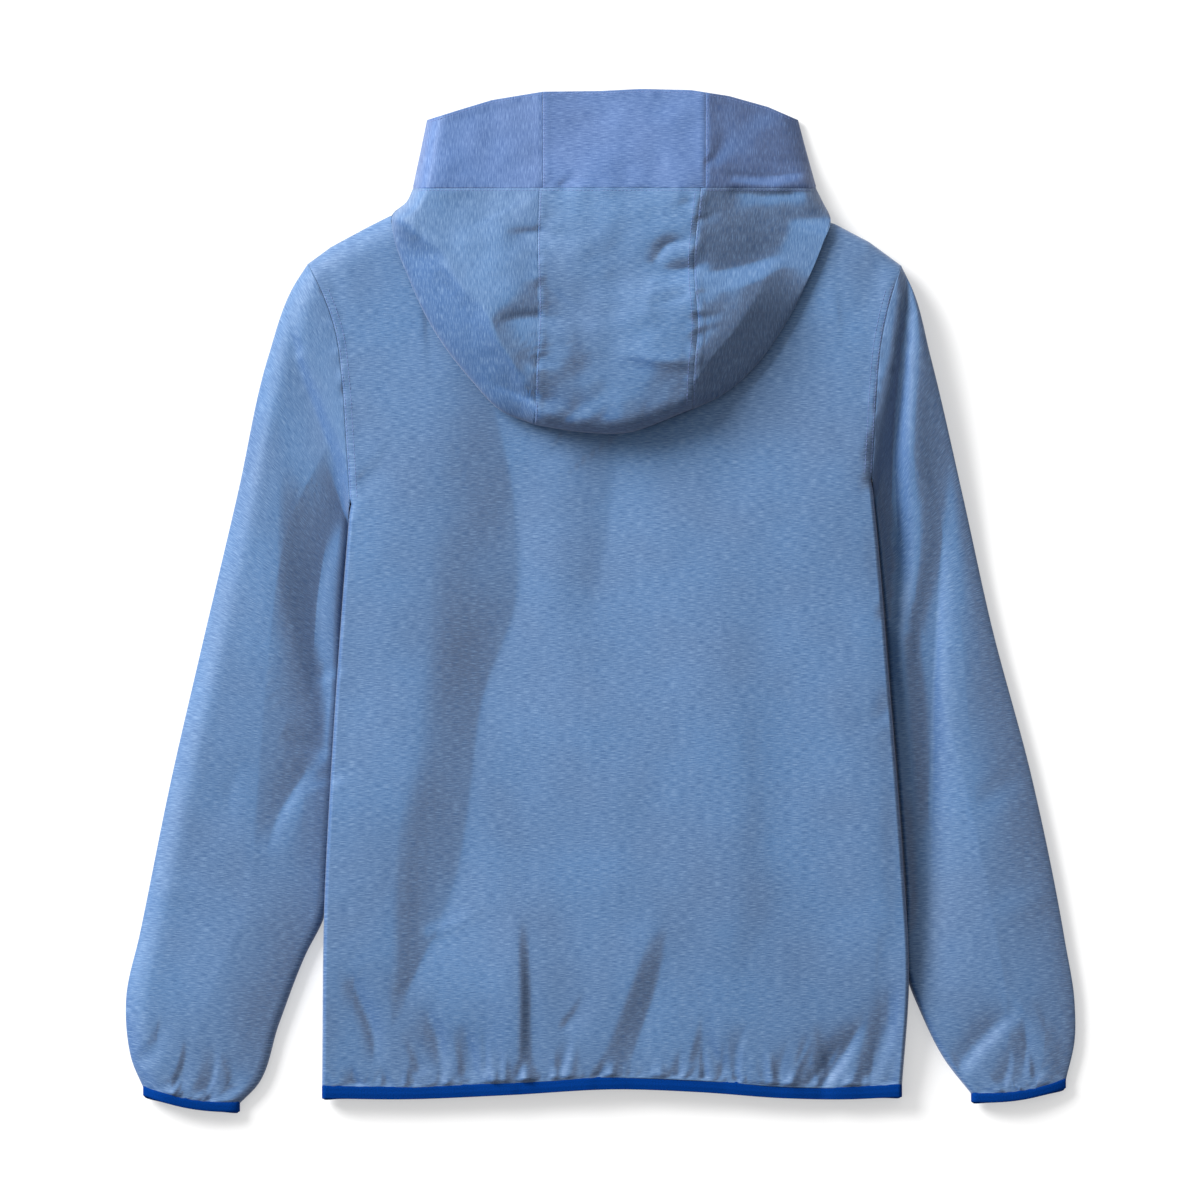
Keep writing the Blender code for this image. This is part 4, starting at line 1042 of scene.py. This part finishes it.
# %% [markdown]
# ## Bindings
#
# The tape is folded round the edge of the cloth and sewn through, so from outside it is a soft
# roll 7 mm wide that laps a little way over the cloth. Its section bulges between its two edges,
# and the gathers behind it make its upper edge wander by a few tenths of a millimetre.

# %% Bindings of the hem and the cuffs
TAPE_WALL = 1.6
TAPE_LAP = 0.9  # how far the tape laps over the cloth


def tape(name, end, wide, proud, flip, node_name, seed):
    """A ring of points carried on past a hem or cuff: rows GAP to GAP + wide below it, each pushed
    out by proud * (1.1 + 0.9 * sqrt(sin(pi * share)) - 0.9 * share^4)."""
    share = np.array([0, 0.02, 0.07, 0.15, 0.28, 0.42, 0.58, 0.72, 0.85, 0.93, 0.98, 1.0])
    run = np.append(0, np.cumsum(np.linalg.norm(np.diff(end, axis=0), axis=1)))
    whole = run[-1] + np.linalg.norm(end[0] - end[-1])
    place = np.stack([run, np.zeros_like(run)], -1)
    off_table = step((end[:, 2] - 0.01) / 3)
    wander = waves(place, 5, 0.14, seed) * off_table
    lap = TAPE_LAP * off_table * (1 - share[:, None])
    grid = np.repeat(end[None], len(share), axis=0)
    grid[..., 1] -= GAP + share[:, None] * wide - (1 - share[:, None]) * wander - lap
    bulge = proud * (1.1 + 0.9 * np.sin(np.pi * share) ** 0.5 - 0.9 * share**4)
    grid[..., 2] += bulge[:, None] * off_table
    along = np.broadcast_to(np.append(run, whole), (len(share), len(run) + 1))
    threads = np.stack([along, np.broadcast_to(share[:, None] * wide, along.shape)], -1)
    piece = cloth(name, grid, threads, TAPE, TAPE_WALL, closed=True, flip=flip)
    return stand_for(piece, node_name)


left, right = path(SIDE_LEFT, np.zeros(1))[0], path(SIDE_RIGHT, np.zeros(1))[0]
t = across(np.hypot(*(right - left)), 150)
hem = left + t[:, None] * (right - left)
hem[:, 1] = read(HEM, "y", hem[:, 0])
ring = np.concatenate([with_z(hem, back_z(hem) - LIFT), with_z(hem, front_z(hem))[-2:0:-1]])
hem_tape = tape("tape_hem", ring, 7.0, 0.4, True, "hem_binding", 61)

for name, side, seed in (("left", LEFT, 62), ("right", RIGHT, 63)):
    inner = path(side[1], np.ones(1))[0]
    outer = path(side[2], np.ones(1))[0]
    width = np.hypot(*(outer - inner[:2]))
    t = across(width, 26)
    plan = inner[:2] + t[:, None] * (outer - inner[:2])
    plan[:, 1] -= CUFF_BOW * 4 * t * (1 - t)
    full = SLEEVE_HEIGHT["height"][-1]
    full_edge = EDGE_SHARE * full
    edge = inner[2] + (full_edge - inner[2]) * step(t)
    rise = inner_rise(t * width, inner[2], full, 1.0, side[5]) * roll((1 - t) * width, side[4], 0.5)
    narrow = ROLL_UNDER * np.where(t < 0.5, np.clip(inner[2] / full_edge, 0.3, 1), 1)
    fall = roll(t * width, narrow) * roll((1 - t) * width, narrow)
    over = with_z(plan, edge + (full - edge) * rise)
    under = with_z(plan, edge * (1 - fall))
    ring = np.concatenate([over, under[-2:0:-1]])
    flip = name == "right"
    tape(
        f"tape_cuff_{name}", ring, 5.0, 0.4, flip, f"cuff_binding_{name}", seed
    )

# %% [markdown]
# ## Hood
#
# The hood has three pieces: a side left and right, and a strip between them that runs from the
# band over the crown and down to the neck. Pressed flat, each of them folds over the rolled
# outline and comes back underneath. A side is a fan of rows from its seam out to the outline and
# back to the neck; the strip is a stack of rows from the band round the crown to the neck. The
# seams are pulled tight, so the cloth beside them is puckered.

# %% Hood surfaces
SEAM_STEPS = np.array([0.0, 0.5, 1.1, 1.9, 3.0, 4.4, 6.0])
NECK_SEAM_X = np.array([NECK_HALF + 4, NECK_HALF + 1, 75.0, 60.0])  # rows that end on the neck
NECK_SIDE_DROP = 4.5
FAN_ROWS = 15  # rows of the solid, between which the cloth's rows lie
TURNING = 5.0  # width of the turned seam allowance that shows as a low ridge
up = np.linspace(100, 256, 14)
hood_seams = [np.stack([read(rows, "x", up), up], 1) for rows in (SEAM_LEFT, SEAM_RIGHT)]


def hood_detail(p):
    """Creases, waves, the seams' own valleys, the puckers that die away beside them, and the low
    ridges where the seam allowances and the brim's hem are turned under."""
    left, right = (away(p, line) for line in hood_seams)
    band = p[..., 1] - BAND_SEAM_Y
    above = np.minimum(*(np.abs(p[..., 0] - x) for x in (BRIM_SEAM_LEFT, BRIM_SEAM_RIGHT)))
    seam = np.where(band > 0, above, np.minimum(left, right))
    detail = creases(p, HOOD_CREASES) + waves(p, 60, 0.5, 75) + waves(p, 24, 0.12, 76)
    detail += seam_dent(seam, 0.1 + 0.15 * step(p[..., 0] / 40)) + seam_dent(np.abs(band), 0.1)
    detail += waves(p, 10, 0.3, 77) * np.exp(-right / 7)
    detail += waves(p, 10, 0.14, 78) * np.exp(-np.minimum(left, np.abs(band)) / 6)
    to_right = p[..., 0] > np.interp(p[..., 1], hood_seams[0][:, 1], hood_seams[0][:, 0])
    ridge = 0.3 * (step((TURNING - left) / 1.2) * to_right + step((TURNING - right) / 1.2))
    ridge = np.where(band > 0, 0.25 * step((TURNING - above) / 1.2), ridge)
    ridge *= step((np.abs(band) - 1) / 4)
    rim = np.interp(p[..., 0], BRIM["x"], BRIM["y"]) - p[..., 1]
    return detail + ridge + 0.3 * step((TURNING - rim) / 1.2)


def hood_cloth_z(p):
    """Outer face of the hood and its band, with every detail."""
    return hood_top_z(p, hood_detail(p) * roll(away(p, HOOD_LINE), 10))


def hood_side(fold, seam, neck_sign, rows, over_columns, under_columns):
    """A fan of rows: seam with the strip, rolled outline, then under to the neck."""
    share = np.linspace(0, 1, rows)
    edge = path(fold, share)
    gap = neck_sign * GAP / 2
    edge[-1, 0] = read(seam, "x", edge[-1, 1]) + gap
    crown_y = edge[-1, 1] + CROWN_INSIDE
    top_y = BAND_SEAM_Y - GAP + share * (crown_y - BAND_SEAM_Y + GAP)
    top = np.stack([read(seam, "x", top_y) + gap, top_y], 1)
    neck_x = neck_sign * NECK_SEAM_X
    neck_y = shoulder_y(neck_x, BACK_DIP)
    neck_y[0] = BAND_SEAM_Y - NECK_SIDE_DROP
    seam_top = float(shoulder_y(read(seam, "x", NECK_Y - BACK_DIP), BACK_DIP))
    low_y = np.linspace(seam_top, crown_y, FAN_ROWS - len(neck_x))
    bottom_x = np.append(neck_x, read(seam, "x", low_y) + gap)
    bottom_y = np.append(neck_y, low_y)
    at = np.linspace(0, 1, FAN_ROWS)
    bottom = np.stack([np.interp(share, at, bottom_x), np.interp(share, at, bottom_y)], 1)
    inside = EDGE_STEPS[EDGE_STEPS < CROWN_INSIDE]
    start = SEAM_STEPS[SEAM_STEPS < CROWN_INSIDE / 2]
    reach, under = np.hypot(*(edge - top).T), np.hypot(*(edge - bottom).T)
    even = np.linspace(0, 1, over_columns)[1:-1]
    first = np.minimum(start, 0.45 * reach[:, None])
    last = np.minimum(inside, 0.45 * reach[:, None])
    inner = first[:, -1:] + even * (reach[:, None] - first[:, -1:] - last[:, -1:])
    above = np.concatenate([first, inner, reach[:, None] - last[:, ::-1]], 1)
    even = np.linspace(0, 1, under_columns)[1:]
    last = np.minimum(inside, 0.9 * under[:, None])
    below = np.concatenate([last[:, 1:], last[:, -1:] + even * (under[:, None] - last[:, -1:])], 1)
    over = between(top, edge, above / reach[:, None])
    back_to = between(edge, bottom, below / under[:, None])
    over = with_z(over, hood_cloth_z(over))
    back_to = with_z(back_to, hood_under_z(back_to))
    grid = np.concatenate([over, back_to], 1)
    threads = np.concatenate([above, reach[:, None] + below], 1)
    threads = np.stack([grid[..., 1], neck_sign * threads], -1)
    threads[:, over.shape[1]:, 0] = 2 * edge[:, 1:2] - grid[:, over.shape[1]:, 1]
    return grid, threads


def hood_strip(columns, rows, under_rows):
    """Rows across the strip, from the band over the rolled crown and on under it to the neck."""
    share = across(SEAM_RIGHT["x"][0] - SEAM_LEFT["x"][0], columns, SEAM_STEPS, SEAM_STEPS)
    crown_x = SEAM_LEFT["x"][0] + share * (SEAM_RIGHT["x"][0] - SEAM_LEFT["x"][0])
    crown = np.interp(crown_x, *polyline(FOLD_CROWN).T)
    start = crown + EDGE_STEPS[-1]
    down = across(BAND_SEAM_Y - crown.mean() - EDGE_STEPS[-1], rows, SEAM_STEPS, np.zeros(1))
    top_y = BAND_SEAM_Y - GAP + down[:, None] * (start - BAND_SEAM_Y + GAP)
    edge_y = crown + EDGE_STEPS[-2::-1, None]
    under_y = crown + EDGE_STEPS[1:, None]
    neck = shoulder_y(crown_x, BACK_DIP)
    last_y = start + np.linspace(0, 1, under_rows)[1:, None] * (neck - start)
    over_y, back_y = np.concatenate([top_y, edge_y]), np.concatenate([under_y, last_y])
    grids = []
    for y in (over_y, back_y):
        left = read(SEAM_LEFT, "x", y) + GAP / 2
        right = read(SEAM_RIGHT, "x", y) - GAP / 2
        grids.append(np.stack([left + share * (right - left), y], -1))
    over, back_to = grids
    over = with_z(over, hood_cloth_z(over))
    back_to = with_z(back_to, hood_under_z(back_to))
    grid = np.concatenate([over, back_to])
    run = np.concatenate([over_y, 2 * crown - back_y])
    return grid, np.stack([grid[..., 0], run], -1)


grid, threads = hood_strip(44, 84, 30)
piece = cloth("cloth_hood_centre", grid, threads, TAFFETA, SHELL_WALL, flip=True)
stand_for(piece, "hood_centre")
for name, fold, seam, sign in (
    ("left", FOLD_LEFT, SEAM_LEFT, -1),
    ("right", FOLD_RIGHT, SEAM_RIGHT, 1),
):
    grid, threads = hood_side(fold, seam, sign, 96, 40, 22)
    piece = cloth(f"cloth_hood_side_{name}", grid, threads, TAFFETA, SHELL_WALL, flip=sign > 0)
    stand_for(piece, f"hood_side_{name}")

# %% [markdown]
# ## Brim band
#
# The band that frames the face is cut across in three. Its two ends fold over the side outline
# and meet at the middle of the front, under the hood.

# %% Band surfaces


def brim_y(x):
    return np.interp(x, BRIM["x"], BRIM["y"])


def band_grid(x, share):
    """Top of the band: from its seam at share 0 to the brim's edge at share 1."""
    y = BAND_SEAM_Y + GAP / 2 + share * (brim_y(x) - BAND_SEAM_Y)
    return np.stack([x, y], -1)


def band_end(side_line, seam_x, neck_sign, rows, over_columns, under_columns):
    """An end piece: its top, the roll over the side outline, and its lower half to the middle."""
    share = across(42.0, rows, SEAM_STEPS, SEAM_STEPS)[:, None]
    edge = path(side_line, share[:, 0])
    width = np.abs(edge[:, 0] - seam_x) - GAP / 2
    over = across(width, over_columns, EDGE_STEPS, SEAM_STEPS) * width[:, None]
    over_x = edge[:, :1] - neck_sign * over[:, ::-1]
    plan = band_grid(over_x, share)
    plan[:, -1, 1] = edge[:, 1] + GAP / 2 * (1 - share[:, 0])
    close = EDGE_STEPS[1:-1]
    outer_x = edge[:, :1] - neck_sign * close
    inner_x = neck_sign * (NECK_HALF - np.linspace(0, 1, under_columns) * (NECK_HALF - GAP / 2))
    under_x = np.concatenate([outer_x, np.broadcast_to(inner_x, (len(edge), under_columns))], 1)
    neck = np.interp(under_x, FRONT_NECK[:, 0], FRONT_NECK[:, 1]) + GAP
    low = np.where(np.abs(under_x) > NECK_HALF, BAND_SEAM_Y + BAND_STEP, neck)
    dip = step(np.abs(under_x - edge[:, :1]) / BRIM_DIP_FADE)
    rim = brim_y(under_x) - BRIM_UNDER_DIP * dip
    under = np.stack([under_x, low + share * (rim - low)], -1)
    top = with_z(plan, hood_cloth_z(plan))
    grid = np.concatenate([top, with_z(under, band_under_z(under))], 1)
    threads = np.stack([grid[..., 1], grid[..., 0]], -1)
    threads[:, over_x.shape[1]:, 1] = 2 * edge[:, :1] - under_x
    # The seam allowance turns under the hood's edge
    on_top = np.arange(grid.shape[1])[:, None] < over_x.shape[1]
    lip = grid[:1] + np.where(on_top, [0, -1.5, -1.1], [0, 0, 0.8])
    return np.concatenate([lip, grid]), np.concatenate([threads[:1] - [1.5, 0], threads])


FRONT_NECK = front_grid[-1]
for name, line, seam_x, sign in (
    ("left", BAND_SIDE_LEFT, BRIM_SEAM_LEFT, -1),
    ("right", BAND_SIDE_RIGHT, BRIM_SEAM_RIGHT, 1),
):
    grid, threads = band_end(line, seam_x, sign, 34, 30, 30)
    piece = cloth(f"cloth_brim_{name}", grid, threads, BAND_TAFFETA, SHELL_WALL, flip=sign < 0)
    stand_for(piece, f"brim_{name}")
x = BRIM_SEAM_LEFT + GAP / 2 + across(
    BRIM_SEAM_RIGHT - BRIM_SEAM_LEFT - GAP, 40, SEAM_STEPS, SEAM_STEPS
) * (BRIM_SEAM_RIGHT - BRIM_SEAM_LEFT - GAP)
share = across(58.0, 30, SEAM_STEPS, SEAM_STEPS)[:, None]
plan = band_grid(np.broadcast_to(x, (len(share), len(x))), share)
grid = with_z(plan, hood_cloth_z(plan))
piece = cloth("cloth_brim_centre", grid, grid[..., :2], BAND_TAFFETA, SHELL_WALL)
stand_for(piece, "brim_centre")

# %% [markdown]
# ## Stitches
#
# The seams are topstitched with a paler filament thread, about 2.4 mm to a stitch. A stitch shows
# as a short bead half sunk in the cloth, so each one is a small capsule, and all the stitches of
# one line are one mesh. They stand on the same height functions as the cloth under them.

# %% Stitch lines
STITCH = 2.4  # pitch
STITCH_LONG = 1.75
THREAD = 0.34  # diameter
thread_material, tree = new_material("polyester_sewing_thread")
surface = {"Base Color": linear("#5c6fa2"), "Roughness": 0.6, "Sheen Weight": 0.2}
shader = node(tree, "ShaderNodeBsdfPrincipled", "BSDF", surface)
node(tree, "ShaderNodeOutputMaterial", None, {"Surface": shader})
RINGS = np.array([(-0.5, 0.0), (-0.47, 0.6), (-0.38, 1.0), (0.38, 1.0), (0.47, 0.6), (0.5, 0.0)])
SIDES = 6


def capsules(line):
    """Capsules along a line of points: stations a pitch apart, each with rings at share u of its
    length and radius r, turned so that u runs along the line."""
    run = np.append(0, np.cumsum(np.linalg.norm(np.diff(line, axis=0), axis=1)))
    at = np.arange(STITCH / 2, run[-1] - STITCH / 2, STITCH)
    station = np.stack([np.interp(at, run, line[:, i]) for i in range(3)], 1)
    ahead = np.stack([np.interp(at + 0.5, run, line[:, i]) for i in range(3)], 1)
    way = ahead - station
    way /= np.linalg.norm(way, axis=1, keepdims=True)
    side = np.cross(way, [0, 0, 1.0])
    side /= np.linalg.norm(side, axis=1, keepdims=True)
    up = np.cross(side, way)
    angle = np.arange(SIDES) / SIDES * 2 * np.pi
    u, r = RINGS[:, :1, None] * STITCH_LONG, RINGS[:, 1:, None] * THREAD / 2
    a = angle[None, :, None]
    way, side, up = way[:, None, None], side[:, None, None], up[:, None, None]
    points = station[:, None, None] + u * way + r * (np.cos(a) * side + np.sin(a) * up)
    rings = len(RINGS)
    i = np.arange(len(at) * rings * SIDES).reshape(len(at), rings, SIDES)
    j = np.roll(i, -1, axis=2)
    quads = np.stack([i[:, :-1], i[:, 1:], j[:, 1:], j[:, :-1]], -1).reshape(-1, 4)
    return points.reshape(-1, 3), quads


def stitches(name, *lines):
    """One mesh of all the stitches of these lines of points in mm, which run on the cloth."""
    points, faces, count = [], [], 0
    for line in lines:
        made, quads = capsules(line)
        points.append(made)
        faces.append(quads + count)
        count += len(made)
    mesh = bpy.data.meshes.new(name)
    mesh.from_pydata((np.concatenate(points) * MM).tolist(), [], np.concatenate(faces).tolist())
    mesh.shade_smooth()
    mesh.materials.append(thread_material)
    piece = in_scene(name, mesh)
    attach(piece, "root")
    print(f"{name}: {len(np.concatenate(faces)) // (SIDES * (len(RINGS) - 1))} stitches")


def seam_run(rows, off, low, high):
    """Points along a hood seam, `off` to one side."""
    y = np.linspace(low, high, 160)
    return np.stack([read(rows, "x", y) + off, y], 1)


hood_lines = [
    seam_run(SEAM_LEFT, 1.0, 111, 254.6),
    seam_run(SEAM_RIGHT, 1.0, 121, 254.6),
    seam_run(SEAM_RIGHT, -3.4, 121, 254.6),
]
x = np.linspace(-113.5, 131.5, 200)
hood_lines.append(np.stack([x, np.full_like(x, BAND_SEAM_Y - 1.6)], 1))
x = np.linspace(-105.5, 121.0, 200)
band_lines = [np.stack([x, brim_y(x) - 1.7], 1)]
for seam in (BRIM_SEAM_LEFT, BRIM_SEAM_RIGHT):
    y = np.linspace(BAND_SEAM_Y + 0.6, brim_y(seam) - 2.4, 60)
    band_lines.append(np.stack([np.full_like(y, seam + 1.0), y], 1))
hood_lines, band_lines = (
    [with_z(p, hood_cloth_z(p)) for p in lines] for lines in (hood_lines, band_lines)
)
stitches("thread_hood", *hood_lines)
stitches("thread_brim", *band_lines)


def back_cloth_z(p):
    """Height of the back's outer face beside an armhole, as its own grid has it."""
    arm_off = np.minimum(away(p, ARM_LINES[0]), away(p, ARM_LINES[1]))
    rise = body_roll(p, ROLL_SIDE, ROLL_DETAIL)
    return back_z(p, back_detail(p, arm_off)) + seam_dent(arm_off) * rise


arm_threads = []
for rows, inside in ((ARMHOLE_LEFT, 1), (ARMHOLE_RIGHT, -1)):
    run = path(rows, np.linspace(0.03, 0.9, 160))[:, :2]
    for off in (0.9, 4.6):
        p = run + [inside * off, 0]
        arm_threads.append(with_z(p, back_cloth_z(p)))
stitches("thread_armholes", *arm_threads)

# %% [markdown]
# ## Stage, light and camera
#
# The garment lies on a plain white table and is seen from straight above, so the camera is
# orthographic. One large soft light at the far left throws the short shadows to the near right.
# A white sky fills them, and so does the table, an opal acrylic sheet that is lit from below.

# %% Table, lights and camera
FLOOR_DROP = 0.02  # mm, so that the cloth doesn't share the table's own plane
TABLE_HALF = 3.0  # m
floor_mesh = bpy.data.meshes.new("table_top")
corners = TABLE_HALF * np.array([(-1, -1), (1, -1), (1, 1), (-1, 1)])
floor_mesh.from_pydata([(x, y, -FLOOR_DROP * MM) for x, y in corners], [], [(0, 1, 2, 3)])
floor = in_scene("table_top", floor_mesh)
material, tree = new_material("opal_acrylic")
surface = {
    "Base Color": linear("#bebebe"),
    "Roughness": 0.8,
    "Specular IOR Level": 0.1,
    "Emission Color": linear("#ffffff"),
    "Emission Strength": 0.42,
}
shader = node(tree, "ShaderNodeBsdfPrincipled", "BSDF", surface)
node(tree, "ShaderNodeOutputMaterial", None, {"Surface": shader})
floor_mesh.materials.append(material)


def soft_light(name, place, size, power):
    """A square area light at this place, aimed at the middle of the garment."""
    data = bpy.data.lights.new(name, "AREA")
    data.energy, data.size = power, size
    lamp = in_scene(name, data)
    lamp.location = place
    lamp.rotation_euler = mathutils.Vector(place).to_track_quat("Z", "Y").to_euler()


soft_light("key", (-4.35, 3.45, 3.25), 3.3, 860)
world = bpy.data.worlds.new("studio")
world.use_nodes = True
tree = world.node_tree
sky = {0: node(tree, "ShaderNodeTexCoord", "Generated"), 1: (-0.45, 0.53, 0.72)}
toward = node(tree, "ShaderNodeVectorMath", "Value", sky, operation="DOT_PRODUCT")
glow = {"Value": toward, "From Min": -0.3, "From Max": 0.9, "To Min": 0.03, "To Max": 0.95}
glow = node(tree, "ShaderNodeMapRange", "Result", glow)
background = tree.nodes["Background"]
background.inputs["Color"].default_value = (1, 1, 1, 1)
tree.links.new(glow, background.inputs["Strength"])
bpy.context.scene.world = world
bpy.context.scene.view_settings.view_transform = "Standard"

FRAME_SIDE = 0.744  # m, the width of the square frame
camera_data = bpy.data.cameras.new("camera")
camera_data.type = "ORTHO"
camera_data.ortho_scale = FRAME_SIDE
camera = in_scene("camera", camera_data)
camera.location = (0, 0, 2.5)
bpy.context.scene.camera = camera
print("one soft light, a sky that is brighter to the far left, camera from straight above")
